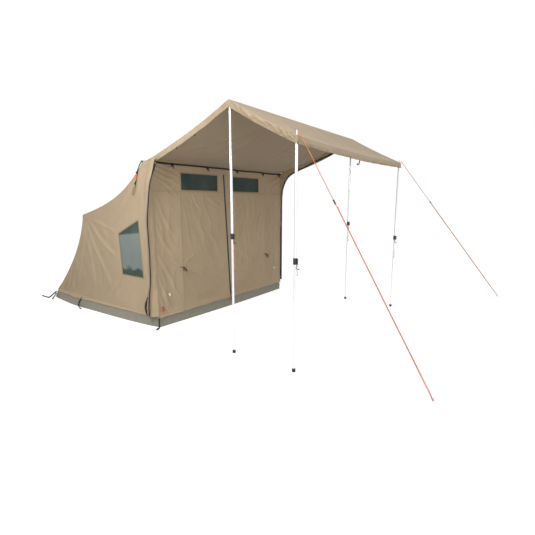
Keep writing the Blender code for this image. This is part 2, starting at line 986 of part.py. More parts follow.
def make_arm(word, side):
    start = pivot + arm_dir * arm_tube_start
    arm = tube_between(
        "rear_arm_" + word, at(side, start),
        at(side, rear_bar - arm_dir * (elbow_radius + gap)), tube_radius, tube_wall, "aluminium",
    )
    plug_end = start + arm_dir * (arm_tube_start / 2)
    plug = tube_path(
        "arm_plug_" + word, [at(side, start - arm_dir * gap), at(side, plug_end)],
        tube_radius - tube_wall / 2, "aluminium", 1,
    )
    join(arm, as_closed_mesh(plug))
    tongue = tube_path(
        "arm_tongue_" + word, [at(side, pivot), at(side, start + arm_dir * (arm_tube_start / 4))],
        tongue_radius, "aluminium", 1,
    )
    join(arm, as_closed_mesh(tongue))
    join(arm, round_x(
        "arm_eye_" + word, side, pivot, pivot_eye_radius, frame_x - eye_half, frame_x + eye_half,
        "aluminium",
    ))
    join(arm, round_x(
        "arm_boss_" + word, side, arm_pin, rivet_head_radius, rear_link_faces[0] + gap,
        frame_x - tube_radius + tube_wall / 2, "aluminium",
    ))
    bore = round_x(
        "arm_bore_" + word, side, pivot, pivot_pin_radius + gap, frame_x - eye_half - cut_overrun,
        frame_x + eye_half + cut_overrun, "aluminium",
    )
    tent.objects.unlink(bore)
    cutters.objects.link(bore)
    cut(arm, bore)
    return arm


def make_bracket(word, side):
    low = tub_cloth + gap
    base = cube_between(
        "foot_bracket_" + word,
        (side * frame_x - bracket_width / 2, leg_foot_y - bracket_front, low),
        (side * frame_x + bracket_width / 2, leg_foot_y - bracket_front + bracket_length,
         low + bracket_thick),
        "plastic",
    )
    stub_end = leg_base + leg_dir * leg_stub
    stub = tube_path(
        "leg_stub_" + word, [at(side, leg_base - leg_dir * (bracket_thick / 2)), at(side, stub_end)],
        tube_radius - tube_wall - gap, "plastic", 1,
    )
    join(base, as_closed_mesh(stub))
    near = frame_x - eye_half - gap
    far = frame_x + eye_half + gap
    for end, (inner, outer) in enumerate(((near - plate_thick, near), (far, far + plate_thick))):
        join(base, cube_between(
            "lug_" + word + "_" + str(end),
            (min(side * inner, side * outer), pivot_y - lug_half, low + bracket_thick / 2),
            (max(side * inner, side * outer), pivot_y + lug_half, pivot_z + lug_half),
            "plastic",
        ))
    join(base, round_x(
        "hinge_pin_" + word, side, pivot, pivot_pin_radius, near - plate_thick / 2,
        far + plate_thick / 2, "plastic",
    ))


def make_link(name, side, start, end, faces, bored):
    """A flat stay bar with round ends, and a hole at its start where it turns on a pin."""
    length = (end - start).length
    curve = bpy.data.curves.new(name, "CURVE")
    curve.dimensions = "2D"
    curve.fill_mode = "BOTH"
    curve.extrude = (faces[0] - faces[1]) / 2
    outline = []
    for end_x, first in ((length, -math.pi / 2), (0, math.pi / 2)):
        for step in range(elbow_cells + 1):
            angle = first + math.pi * step / elbow_cells
            outline.append((
                end_x + stay_bar_half * math.cos(angle), stay_bar_half * math.sin(angle),
            ))
    loops = [outline]
    if bored:
        radius = stay_pin_radius + gap
        loops.append([
            (radius * math.cos(2 * math.pi * n / turn_steps),
             radius * math.sin(2 * math.pi * n / turn_steps)) for n in range(turn_steps)
        ])
    for loop in loops:
        spline = curve.splines.new("POLY")
        spline.points.add(len(loop) - 1)
        for slot, (x, y) in zip(spline.points, loop):
            slot.co = (x, y, 0, 1)
        spline.use_cyclic_u = True
    made = add_object(name, curve, "aluminium")
    along = (end - start).normalized()
    axes = Matrix(((0, 0, 1), (along.x, -along.y, 0), (along.y, along.x, 0))).to_4x4()
    middle = at(side, start, (faces[0] + faces[1]) / 2)
    made.matrix_world = Matrix.Translation(middle) @ axes
    return as_closed_mesh(made)


def make_stays(word, side):
    front = make_link("stay_front_link_" + word, side, leg_pin, knee, link_faces, True)
    join(front, round_x(
        "knee_pin_" + word, side, knee, stay_pin_radius, rear_link_faces[1],
        link_faces[0] - stay_bar_thick / 2, "aluminium",
    ))
    make_link("stay_rear_link_" + word, side, knee, arm_pin, rear_link_faces, True)


make_hoop_top("front_top_bar", front_bar, leg_dir)
rear_hoop = make_hoop_top("rear_top_bar", rear_bar, arm_dir)
for word, side in sides.items():
    make_leg(word, side)
    rear_hoop.append(make_arm(word, side))
    make_bracket(word, side)
    make_stays(word, side)
carry("rear_fold", (0, pivot_y, pivot_z), rear_hoop)


# Awning poles

def make_clamp(word, side, y, low, step, socket, place):
    """A collar that grips both tubes, with a lever that turns on a pin between two ears."""
    high = low + clamp_height
    inner = upper_radius + gap
    outer = inner + clamp_wall
    seat = step - gap
    clamp = turned(
        "pole_clamp_" + word,
        [(outer, high), (outer, low), (socket, low), (socket, seat), (inner, seat), (inner, high)],
        "plastic", place,
    )
    pin_y = y - outer - lever_boss
    pin_z = high - lever_boss
    x = side * pole_x
    half = lever_width / 2 + gap
    for end in (-1, 1):
        join(clamp, cube_between(
            "clamp_ear_" + word + "_" + str(end + 1),
            (min(x + end * half, x + end * (half + ear_thick)), pin_y - lever_boss / 2,
             pin_z - lever_boss / 2),
            (max(x + end * half, x + end * (half + ear_thick)), y - outer + ear_root,
             pin_z + lever_boss / 2),
            "plastic",
        ))
    reach = half + ear_thick / 2
    join(clamp, turned(
        "lever_pin_" + word, rod_profile(lever_pin_radius, -reach, reach), "plastic",
        along_x(x, pin_y, pin_z),
    ))
    lever = cube_between(
        "clamp_lever_" + word,
        (x - lever_width / 2, pin_y - lever_thick / 2, pin_z - lever_length),
        (x + lever_width / 2, pin_y + lever_thick / 2, pin_z + lever_thick / 2),
        "plastic",
    )
    bore = turned(
        "lever_bore_" + word, rod_profile(lever_pin_radius + gap, -half, half), "plastic",
        along_x(x, pin_y, pin_z),
    )
    tent.objects.unlink(bore)
    cutters.objects.link(bore)
    cut(lever, bore)
    carry("lever_pivot_" + word, (x, pin_y, pin_z), [lever])


def make_ridge_bar():
    index = awning_ys.index(ridge_y)
    near = [Vector((y, awning_top(0, y))) for y in awning_ys[index - 1:index + 2]]
    near = [near[2], near[1], near[0]]
    bar = corner_point(*near, cloth + gap + bar_clear + upper_radius)
    reach = pole_x + upper_radius
    tube_between(
        "ridge_bar", at(-1, bar, reach), at(1, bar, reach), upper_radius, upper_wall, "aluminium"
    )
    return bar


def make_pole(word, side, y, top, clamp_z, spigot):
    """One pole: upper tube, clamp, lever, and the lower tube with its foot, which slides up inside."""
    place = Matrix.Translation((side * pole_x, y, 0))
    step = clamp_z + clamp_height * clamp_step_share
    roof = top - upper_cap
    inner = upper_radius - upper_wall
    profile = [
        (0, top), (upper_radius, top), (upper_radius, step), (inner, step), (inner, roof), (0, roof),
    ]
    if spigot:
        tip = top + spigot_length
        profile = [(0, tip), (spigot_radius, tip), (spigot_radius, top)] + profile[1:]
    turned("pole_upper_" + word, profile, "aluminium", place)
    low = foot_height - foot_socket + gap
    turned(
        "pole_lower_" + word,
        ring_profile(lower_radius, lower_radius - lower_wall, low, clamp_z + pole_overlap),
        "aluminium", place,
    )
    socket = lower_radius + gap
    sole = foot_height - foot_socket
    turned("pole_foot_" + word, [
        (0, sole), (socket, sole), (socket, foot_height), (foot_radius, foot_height),
        (foot_radius, 0), (0, 0),
    ], "rubber", place)
    make_clamp(word, side, y, clamp_z, step, socket, place)


ridge_bar = make_ridge_bar()
ridge_top = ridge_bar.y - upper_radius - gap
front_slope = math.atan2(ridge_z - eave_z, ridge_y - eave_y)
front_low_y = front_pole_y - upper_radius
front_top = awning_line(front_low_y) - cloth / math.cos(front_slope) - gap - bar_clear
for word, side in sides.items():
    make_pole("ridge_" + word, side, ridge_bar.x, ridge_top, ridge_clamp_z, False)
    make_pole("front_" + word, side, front_pole_y, front_top, front_clamp_z, True)


# Guy lines

def make_guy(word, route):
    """The rope from the pole top down round its peg and back to the runner, with runner and peg."""
    points = smooth_route(route, rope_points)
    tube_path("guy_line_" + word, points, rope_radius, "orange", 1)
    foot = Vector(route[peg_turn])
    start = Vector(route[runner_turn])
    pull = Vector((start.x - foot.x, start.y - foot.y, 0)).normalized()
    peg_foot = Vector((foot.x, foot.y, 0)) + pull * (rope_radius + peg_radius + peg_clear)
    rises = [(peg_lean / 5, peg_radius + gap), (0, peg_height / 2),
             (-peg_lean * 2 / 3, peg_height), (-peg_lean, peg_height + peg_radius / 2),
             (-peg_lean - peg_hook / 2, peg_height - peg_radius)]
    peg = [peg_foot + pull * out + Vector((0, 0, up)) for out, up in rises]
    tube_path("peg_" + word, peg, peg_radius, "steel", 1)
    along = (Vector(route[runner_turn]) - Vector(route[runner_turn + 1])).normalized()
    turned(
        "guy_runner_" + word,
        ring_profile(runner_width / 2, rope_radius + gap, -runner_length / 2, runner_length / 2),
        "plastic", between(start + along * runner_length, start + along * (2 * runner_length)),
    )


make_guy("left", guy_left_route)
make_guy("right", guy_right_route)
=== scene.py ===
import math

import bmesh
import bpy
import mathutils
import numpy as np
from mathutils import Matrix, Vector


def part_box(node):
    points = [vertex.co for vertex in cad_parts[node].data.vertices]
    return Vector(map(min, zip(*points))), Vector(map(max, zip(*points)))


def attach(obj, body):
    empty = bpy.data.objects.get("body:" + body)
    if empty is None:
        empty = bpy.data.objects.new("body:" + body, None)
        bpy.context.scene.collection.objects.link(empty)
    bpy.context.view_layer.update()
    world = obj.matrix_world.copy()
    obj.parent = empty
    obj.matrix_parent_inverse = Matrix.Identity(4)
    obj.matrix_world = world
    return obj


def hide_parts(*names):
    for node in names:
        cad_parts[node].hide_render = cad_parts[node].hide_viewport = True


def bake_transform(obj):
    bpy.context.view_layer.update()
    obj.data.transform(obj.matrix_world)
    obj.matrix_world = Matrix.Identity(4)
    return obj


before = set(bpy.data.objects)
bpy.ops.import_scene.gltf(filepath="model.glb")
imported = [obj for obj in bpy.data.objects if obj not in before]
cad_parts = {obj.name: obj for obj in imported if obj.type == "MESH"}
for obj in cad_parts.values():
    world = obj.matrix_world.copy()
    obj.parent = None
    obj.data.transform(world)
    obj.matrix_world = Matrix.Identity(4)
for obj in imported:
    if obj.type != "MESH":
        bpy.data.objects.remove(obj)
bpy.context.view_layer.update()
sides = (("left", -1), ("right", 1))
print("frame loaded:", len(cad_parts), "CAD nodes")


def newObject(name, data):
    made = bpy.data.objects.new(name, data)
    bpy.context.scene.collection.objects.link(made)
    return made


# Camera, where the photograph was taken from

camera = {
    "place": (-3.9753, -3.6288, 1.5167), "turn": (79.883, 0.0, -53.450),
    "lens": 24.80, "sensor": 36.0, "sees": 60.0,
}


def makeCamera():
    data = bpy.data.cameras.new("camera")
    data.lens = camera["lens"]
    data.sensor_width = camera["sensor"]
    data.clip_end = camera["sees"]
    made = newObject("camera", data)
    made.location = camera["place"]
    made.rotation_euler = [math.radians(a) for a in camera["turn"]]
    bpy.context.scene.camera = made


makeCamera()


# Nodes: a wrapped socket does sums, and Finish.node makes every other node

class Socket:
    def __init__(self, finish, made):
        self.finish = finish
        self.made = made

    def sum(self, operation, *values):
        return self.finish.node("Math", {"operation": operation}, dict(enumerate(values)))

    def __add__(self, other):
        return self.sum("ADD", self, other)

    def __sub__(self, other):
        return self.sum("SUBTRACT", self, other)

    def __mul__(self, other):
        return self.sum("MULTIPLY", self, other)

    def sine(self):
        return self.sum("SINE", self)

    def size(self):
        return self.sum("ABSOLUTE", self)


class Finish:
    def __init__(self, name, colour, roughness, metallic=0.0):
        self.material = bpy.data.materials.new(name)
        self.material.use_nodes = True
        self.tree = self.material.node_tree
        self.shader = self.tree.nodes["Principled BSDF"]
        self.feed("Base Color", (*colour, 1.0))
        self.feed("Roughness", roughness)
        self.feed("Metallic", metallic)

    def plug(self, socket, value):
        if isinstance(value, Socket):
            self.tree.links.new(value.made, socket)
        else:
            socket.default_value = value

    def feed(self, name, value):
        self.plug(self.shader.inputs[name], value)

    def node(self, kind, settings=None, inputs=None, output=0):
        made = self.tree.nodes.new("ShaderNode" + kind)
        for key, value in (settings or {}).items():
            setattr(made, key, value)
        for key, value in (inputs or {}).items():
            self.plug(made.inputs[key], value)
        return Socket(self, made.outputs[output])

    def objectPlace(self):
        return self.node("TexCoord", output="Object")

    def axis(self, place, letter):
        return self.node("SeparateXYZ", None, {0: place}, letter)

    def threads(self):  # places across and along a sheet laid flat, or round and along a tube
        cloth = self.node("UVMap", {"uv_map": "cloth"})
        return self.axis(cloth, "X"), self.axis(cloth, "Y")

    def folds(self):
        return self.node("Attribute", {"attribute_name": "fold"}, None, "Fac")

    def noise(self, place, scale, detail=3.0, roughness=0.55):
        return self.node("TexNoise", None, {
            "Vector": place, "Scale": scale, "Detail": detail, "Roughness": roughness,
        })

    def spread(self, value, low, high):  # 0 at low, 1 at high, held between
        return self.node("MapRange", {"clamp": True}, {"Value": value, "From Min": low, "From Max": high})

    def mix(self, share, first, second):
        return self.node("Mix", {"data_type": "RGBA"}, {0: share, 6: first, 7: second}, 2)

    def bump(self, height, strength, distance, normal=None):
        inputs = {"Height": height, "Strength": strength, "Distance": distance}
        if normal:
            inputs["Normal"] = normal
        return self.node("Bump", None, inputs)


def tinted(colour, share):  # lighter or darker, with its alpha
    return tuple(min(c * share, 1.0) for c in colour[:3]) + (1.0,)


# Cloth finishes: colours are linear, lengths in metres

canvasLook = {
    "colour": (0.56, 0.424, 0.272), "roughness": 0.90, "thread": 0.0016, "weaveHeight": 0.00022,
    # tints of painted highlight on fold ridges and painted shade in fold valleys
    "ridgeHighlight": 1.10, "valleyShade": 0.82, "sheen": 0.10,
}


def canvasFinish(name, colour):
    look = canvasLook
    made = Finish(name, colour, look["roughness"])
    place = made.objectPlace()
    broad = made.noise(place, 1.3, 3.0)
    patch = made.noise(place, 7.0, 4.0, 0.6)
    fibre = made.noise(place, 420.0, 2.0, 0.7)
    across, along = made.threads()
    turn = 2 * math.pi / look["thread"]
    weave = (across * turn).sine() * (along * turn).sine()
    fold = made.folds()
    # the fold value paints highlight on the ridges of folds and shade in their valleys
    litRidges = made.spread(fold, 0.55, 1.0)
    deep = made.spread(fold, 0.45, 0.0)
    shade = made.spread(broad * 0.6 + patch * 0.4, 0.36, 0.66)
    colours = made.mix(shade, tinted(colour, 0.93), tinted(colour, 1.07))
    colours = made.mix(fibre * 0.22, colours, tinted(colour, 0.82))
    colours = made.mix(litRidges * 0.40, colours, tinted(colour, look["ridgeHighlight"]))
    colours = made.mix(deep * 0.40, colours, tinted(colour, look["valleyShade"]))
    made.feed("Base Color", colours)
    made.feed("Roughness", fibre * 0.10 + (look["roughness"] - 0.05))
    made.feed("Sheen Weight", look["sheen"])
    made.feed("Sheen Roughness", 0.6)
    pucker = made.noise(place, 38.0, 3.0)
    rough = made.bump(pucker, 0.35, 0.002)
    made.feed("Normal", made.bump(weave * 0.5 + fibre * 0.5, 0.45, look["weaveHeight"], rough))
    return made.material


canvas = canvasFinish("canvas", canvasLook["colour"])
awningCanvas = canvasFinish("awningCanvas", (0.505, 0.392, 0.263))


def tapeFinish(name, colour):  # woven tape: ribs across, and a little fuzz
    made = Finish(name, colour, 0.75)
    rib = (made.threads()[1] * 2200.0).sine()
    fuzz = made.noise(made.objectPlace(), 260.0, 3.0)
    colours = made.mix(fuzz * 0.5, tinted(colour, 0.85), tinted(colour, 1.2))
    made.feed("Base Color", colours)
    made.feed("Roughness", fuzz * 0.2 + 0.65)
    made.feed("Normal", made.bump(rib * 0.6 + fuzz * 0.4, 0.5, 0.0004))
    return made.material


tanTape = tapeFinish("tanTape", (0.44, 0.33, 0.21))
blackTape = tapeFinish("blackTape", (0.018, 0.018, 0.019))
brownTape = tapeFinish("brownTape", (0.12, 0.088, 0.056))
orangeTape = tapeFinish("orangeTape", (0.84, 0.16, 0.055))
whiteTape = tapeFinish("whiteTape", (0.90, 0.89, 0.86))


def skirtFinish():  # coated sheet: satin, crinkled, with dust along the foot
    colour = (0.300, 0.278, 0.222)
    made = Finish("coatedSheet", colour, 0.55)
    place = made.objectPlace()
    dust = made.spread(made.axis(place, "Z"), 0.05, 0.0) * made.spread(made.noise(place, 9.0, 4.0), 0.35, 0.7)
    patch = made.noise(place, 5.0, 4.0, 0.6)
    grain = made.noise(place, 300.0, 2.0)
    colours = made.mix(patch, tinted(colour, 0.86), tinted(colour, 1.14))
    colours = made.mix(dust * 0.45, colours, (0.44, 0.40, 0.33, 1.0))
    made.feed("Base Color", colours)
    made.feed("Roughness", patch * 0.25 + 0.42 + dust * 0.2)
    crinkle = made.noise(place, 26.0, 5.0, 0.6)
    rough = made.bump(crinkle, 0.5, 0.004)
    made.feed("Normal", made.bump(grain, 0.3, 0.0003, rough))
    return made.material


skirt = skirtFinish()


def meshFinish(name, colour, bright, backingAndSheen):  # insect mesh: a fine square net, paler where cloth backs it (side windows) and in painted highlight patches (door windows)
    made = Finish(name, colour, 0.8)
    across, along = made.threads()
    net = (across * 3100.0).sine() * (along * 3100.0).sine()
    broad = made.noise(made.objectPlace(), 3.5, 3.0)
    colours = made.mix(made.spread(broad, 0.35, 0.7), tinted(colour, 0.75), tinted(colour, bright))
    pale = made.mix(made.spread(broad, 0.3, 0.7), tinted(backingAndSheen, 0.90), tinted(backingAndSheen, 1.10))
    colours = made.mix(made.spread(made.folds(), 0.0, 1.0), colours, pale)
    made.feed("Base Color", colours)
    made.feed("Normal", made.bump(net, 0.4, 0.0002))
    made.feed("Specular IOR Level", 0.3)
    return made.material


netDark = meshFinish("netDark", (0.040, 0.056, 0.050), 1.7, (0.075, 0.105, 0.095))
netGreen = meshFinish("netGreen", (0.066, 0.096, 0.082), 1.3, (0.245, 0.285, 0.266))
print("cloth finishes ready")


# Hard finishes

def metalFinish(name, colour, roughness):  # brushed along z, with smudges
    made = Finish(name, colour, roughness, 1.0)
    place = made.objectPlace()
    stretched = made.node("Mapping", None, {"Vector": place, "Scale": (1.0, 1.0, 0.04)})
    streak = made.noise(stretched, 900.0, 3.0)
    smudge = made.noise(place, 11.0, 4.0)
    made.feed("Base Color", made.mix(smudge, tinted(colour, 0.90), tinted(colour, 1.05)))
    made.feed("Roughness", streak * 0.12 + smudge * 0.10 + (roughness - 0.10))
    made.feed("Normal", made.bump(streak, 0.08, 0.0002))
    return made.material


def mouldedFinish(name, colour, roughness, grainScale):  # fine grain, with paler scuffs
    made = Finish(name, colour, roughness)
    place = made.objectPlace()
    grain = made.noise(place, grainScale, 2.0, 0.6)
    scuff = made.spread(made.noise(place, 60.0, 5.0, 0.7), 0.56, 0.74)
    made.feed("Base Color", made.mix(scuff * 0.35, tinted(colour, 1.0), tinted(colour, 2.2)))
    made.feed("Roughness", grain * 0.16 + scuff * 0.16 + (roughness - 0.10))
    made.feed("Normal", made.bump(grain, 0.25, 0.0003))
    return made.material


tubeMetal = metalFinish("tubeMetal", (0.80, 0.80, 0.81), 0.34)
pegMetal = metalFinish("pegMetal", (0.52, 0.52, 0.54), 0.38)
blackPlastic = mouldedFinish("blackPlastic", (0.020, 0.020, 0.022), 0.48, 700.0)
footRubber = mouldedFinish("footRubber", (0.022, 0.022, 0.022), 0.78, 350.0)


def paintedTube():  # pale anodised pole: satin, barely metallic, with scratches along it
    colour = (0.86, 0.86, 0.865)
    made = Finish("poleTube", colour, 0.24, 0.88)
    place = made.objectPlace()
    long = made.node("Mapping", None, {"Vector": place, "Scale": (1.0, 1.0, 0.03)})
    streak = made.noise(long, 700.0, 3.0)
    scratch = made.spread(made.noise(long, 2600.0, 2.0), 0.66, 0.72)
    made.feed("Base Color", made.mix(streak * 0.6, tinted(colour, 0.94), tinted(colour, 1.02)))
    made.feed("Roughness", streak * 0.14 + scratch * 0.12 + 0.20)
    made.feed("Normal", made.bump(streak, 0.10, 0.0002))
    return made.material


poleTube = paintedTube()


def zipFinish():  # coil teeth along the piece's own length
    made = Finish("zipCoil", (0.014, 0.014, 0.015), 0.42)
    across, along = made.threads()
    tooth = (along * 2500.0).sine()
    coil = made.spread(across.size(), 0.0045, 0.0035)
    made.feed("Roughness", coil * -0.16 + 0.62)
    lit = coil * made.spread(tooth, 0.0, 0.6)
    made.feed("Base Color", made.mix(lit, (0.012, 0.012, 0.013, 1), (0.05, 0.05, 0.05, 1)))
    made.feed("Normal", made.bump(tooth * coil, 0.7, 0.0008))
    return made.material


zipCoil = zipFinish()


def ropeFinish():  # a braid: two strand waves that cross, and a sheath paler on the strands' crowns
    colour = (0.96, 0.29, 0.115)
    made = Finish("braidedRope", colour, 0.7)
    around, along = made.threads()
    left = along * 900.0 + around * 25.0
    right = along * 900.0 - around * 25.0
    braid = left.sine() * right.sine()
    # paler where the braid's waves crest
    paleCrowns = made.spread(braid, 0.55, 0.95)
    fuzz = made.noise(made.objectPlace(), 500.0, 2.0)
    colours = made.mix(paleCrowns * 0.5, tinted(colour, 0.92), (0.88, 0.62, 0.50, 1.0))
    made.feed("Base Color", made.mix(fuzz * 0.25, colours, tinted(colour, 0.6)))
    made.feed("Normal", made.bump(braid, 0.6, 0.0006))
    made.feed("Sheen Weight", 0.2)
    return made.material


rope = ropeFinish()
print("hard finishes ready")


# Shapes: every surface is worked out as whole arrays

def addMesh(name, points, faces, material, uv, fold=None):
    mesh = bpy.data.meshes.new(name)
    mesh.from_pydata(points.reshape(-1, 3).tolist(), [], faces)
    layer = mesh.uv_layers.new(name="cloth")
    corners = np.zeros(len(mesh.loops), np.int32)
    mesh.loops.foreach_get("vertex_index", corners)
    layer.data.foreach_set("uv", uv.reshape(-1, 2)[corners].astype(np.float32).ravel())
    if fold is not None:
        attribute = mesh.attributes.new("fold", "FLOAT", "POINT")
        attribute.data.foreach_set("value", np.clip(fold, 0, 1).astype(np.float32).ravel())
    mesh.shade_smooth()
    mesh.materials.append(material)
    return newObject(name, mesh)


def gridFaces(rows, columns, closedRows=False):  # four corners of each cell, rows first
    i, j = grid(np.arange(rows if closedRows else rows - 1), np.arange(columns - 1))
    k = (i + 1) % rows
    return np.stack([i * columns + j, k * columns + j, k * columns + j + 1, i * columns + j + 1], -1)


def grid(first, second):  # two runs of values as a grid, the first along its rows
    return np.meshgrid(first, second, indexing="ij")


def centred(values):  # at the middle of each cell of a grid
    return (values[:-1, :-1] + values[1:, 1:]) / 2


def spots(x, y, z):  # points from three runs of values, any of which may be one value
    return np.stack(np.broadcast_arrays(x, y, z), -1)


def headings(line):  # unit steps along a line of points
    steps = np.gradient(line, axis=0)
    return steps / np.linalg.norm(steps, axis=1)[:, None]


def circle(centre, across, up, count):  # a closed ring of points round a centre, from two half axes
    turn = np.linspace(0, 2 * np.pi, count)[:, None]
    return np.array(centre) + np.array(across) * np.cos(turn) + np.array(up) * np.sin(turn)


def walled(made, thick, offset=-1):  # a sheet gets its thickness
    wall = made.modifiers.new("wall", "SOLIDIFY")
    wall.thickness = thick
    wall.offset = offset
    return made


def walked(points):  # distance walked along the first axis of a grid of points
    steps = np.linalg.norm(np.diff(points, axis=0), axis=-1)
    return np.concatenate([np.zeros((1,) + steps.shape[1:]), np.cumsum(steps, axis=0)])


tapeThick, netThick = 0.0018, 0.0012
cutSizes = {}  # name: (width, length, area) of each cloth, laid flat


def clothGrid(name, points, material, fold, thick=0.0022, keep=None, flip=False):  # a sheet, walled inwards
    uv = np.stack([walked(points), walked(points.swapaxes(0, 1)).swapaxes(0, 1)], -1).reshape(-1, 2)
    diagonals = points[1:, 1:] - points[:-1, :-1], points[1:, :-1] - points[:-1, 1:]
    areas = np.linalg.norm(np.cross(*diagonals), axis=-1) / 2
    area = areas[keep].sum() if keep is not None else areas.sum()
    cutSizes[name] = (uv[:, 0].max(), uv[:, 1].max(), area)
    faces = gridFaces(*points.shape[:2])
    faces = faces[keep] if keep is not None else faces.reshape(-1, 4)
    used, renumbered = np.unique(faces.ravel(), return_inverse=True)
    faces = renumbered.reshape(-1, 4)
    if flip:
        faces = faces[:, ::-1]
    made = addMesh(name, points.reshape(-1, 3)[used], faces.tolist(), material, uv[used], fold.ravel()[used])
    return walled(made, thick)


def between(first, last, share):
    return first + (last - first) * share


def ramp(value, low, high):  # 0 at low, 1 at high, smooth between
    t = np.clip((value - low) / (high - low), 0, 1)
    return t * t * (3 - 2 * t)


def hump(share):  # 0 at both ends, 1 half way
    return np.sin(np.pi * np.clip(share, 0, 1)) ** 2


def humpAcross(share):  # 0 at -1 and 1, 1 in the middle
    return hump((share + 1) / 2)


def ridges(p, q, creases):  # height * exp(-(distance / width)^2) along each line, a dip beside it, faded ends
    total = np.zeros_like(p)
    for number, (p0, q0, p1, q1, width, height) in enumerate(creases):
        along = math.hypot(p1 - p0, q1 - q0)
        t = ((p - p0) * (p1 - p0) + (q - q0) * (q1 - q0)) / along**2
        away = ((p - p0) * (q1 - q0) - (q - q0) * (p1 - p0)) / along
        away = away + width * 0.7 * np.sin(t * 5.0 + number * 1.7)
        dip = 0.45 * np.exp(-(((away - 1.6 * width) / (1.4 * width)) ** 2))
        profile = np.exp(-((away / width) ** 2)) - dip
        total += height * profile * ramp(t, -0.02, 0.16) * ramp(1 - t, -0.02, 0.22)
    return total


def waves(p, q, seed, pitch, stretch=(1.0, 1.0), count=9):  # smooth unevenness: sines of seeded headings
    draw = np.random.default_rng(seed)
    total = np.zeros_like(p)
    for _ in range(count):
        heading = draw.uniform(0, 2 * np.pi)
        size = 2 * np.pi / (pitch * draw.uniform(0.6, 1.6))
        turn = draw.uniform(0, 2 * np.pi)
        bend = 0.6 * np.sin(q * size * 0.37 + turn * 2) + 0.6 * np.sin(p * size * 0.31 - turn)
        total += np.sin(
            size * (p * stretch[0] * math.cos(heading) + q * stretch[1] * math.sin(heading)) + turn + bend
        )
    return total / count**0.5 / 1.5


def sharpWaves(p, q, seed, pitch, stretch=(1.0, 1.0)):  # creased: sharp where smooth waves pass nought
    return 1 - 2 * np.sqrt(np.abs(waves(p, q, seed, pitch, stretch, 5)) + 0.002)


def asFold(height, size):  # the fold attribute: 0.5 on the flat, 1 on a ridge, 0 in a valley; the canvas paints highlight on ridges and shade in valleys from it
    return 0.5 + 0.5 * np.clip(height / size, -1, 1)


def tubeAlong(name, path, radius, material, around, flat=1.0):  # a round bar along a path, with its ends
    path = np.asarray(path, float)
    count = len(path)
    radius = np.broadcast_to(np.asarray(radius, float), (count,))
    heading = headings(path)
    side = np.zeros_like(path)
    side[0] = np.cross(heading[0], (0.0, 0.0, 1.0) if abs(heading[0, 2]) < 0.9 else (1.0, 0.0, 0.0))
    for n in range(1, count):
        side[n] = side[n - 1] - heading[n] * (side[n - 1] @ heading[n])
    side /= np.linalg.norm(side, axis=1)[:, None]
    other = np.cross(heading, side)
    angle = np.linspace(0, 2 * np.pi, around, endpoint=False)
    ring = side * np.cos(angle)[:, None, None] + flat * other * np.sin(angle)[:, None, None]
    points = (path + ring * radius[:, None]).reshape(-1, 3)
    far = walked(path)
    uv = np.stack([np.repeat(angle * 0.04, count), np.tile(far, around)], -1)
    faces = gridFaces(around, count, closedRows=True).reshape(-1, 4)[:, ::-1].tolist()
    first = np.arange(around) * count
    after = np.roll(first, -1)
    middle = len(points)
    faces += np.stack([first, after, np.full(around, middle)], -1).tolist()
    faces += np.stack([after + count - 1, first + count - 1, np.full(around, middle + 1)], -1).tolist()
    points = np.concatenate([points, path[[0, -1]]])
    uv = np.concatenate([uv, [[0.0, 0.0], [0.0, far[-1]]]])
    return addMesh(name, points, faces, material, uv)


def ribbon(name, path, across, width, thick, material, bow=0.0):  # a flat tape along a path, bowed
    path = np.asarray(path, float)
    across = np.broadcast_to(np.asarray(across, float), path.shape)
    across = across / np.linalg.norm(across, axis=1)[:, None]
    shares = np.linspace(-0.5, 0.5, 7)
    out = np.cross(np.gradient(path, axis=0), across)
    out /= np.linalg.norm(out, axis=1)[:, None]
    crown = bow * (1 - (2 * shares) ** 2)
    points = path + across * (shares * width)[:, None, None] + out * crown[:, None, None]
    uv = np.stack(np.broadcast_arrays((shares * width)[:, None], walked(path)), -1)
    made = addMesh(name, points, gridFaces(len(shares), len(path)).reshape(-1, 4).tolist(), material, uv)
    return walled(made, thick, 0)


def dress(made, slotName, *nodes):
    if nodes:
        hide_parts(*nodes)
    return made


def ride(made, body, slotName, *nodes):
    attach(made, body)
    return dress(made, slotName, *nodes)


def zipHalf(name, suffix, run, across, width, bow, shift, coil, *nodes):  # a tape with its row of coil teeth
    tape = ribbon(f"{name}Tape{suffix}", run, across, width, tapeThick, blackTape, bow)
    ride(tape, "root", "zip", *nodes)
    ride(tubeAlong(f"{name}Coil{suffix}", run + np.array(shift), coil, zipCoil, 8), "root", "zip")


# Ropes: the routes repeat the part's own, from the pole top round the peg and back to the runner

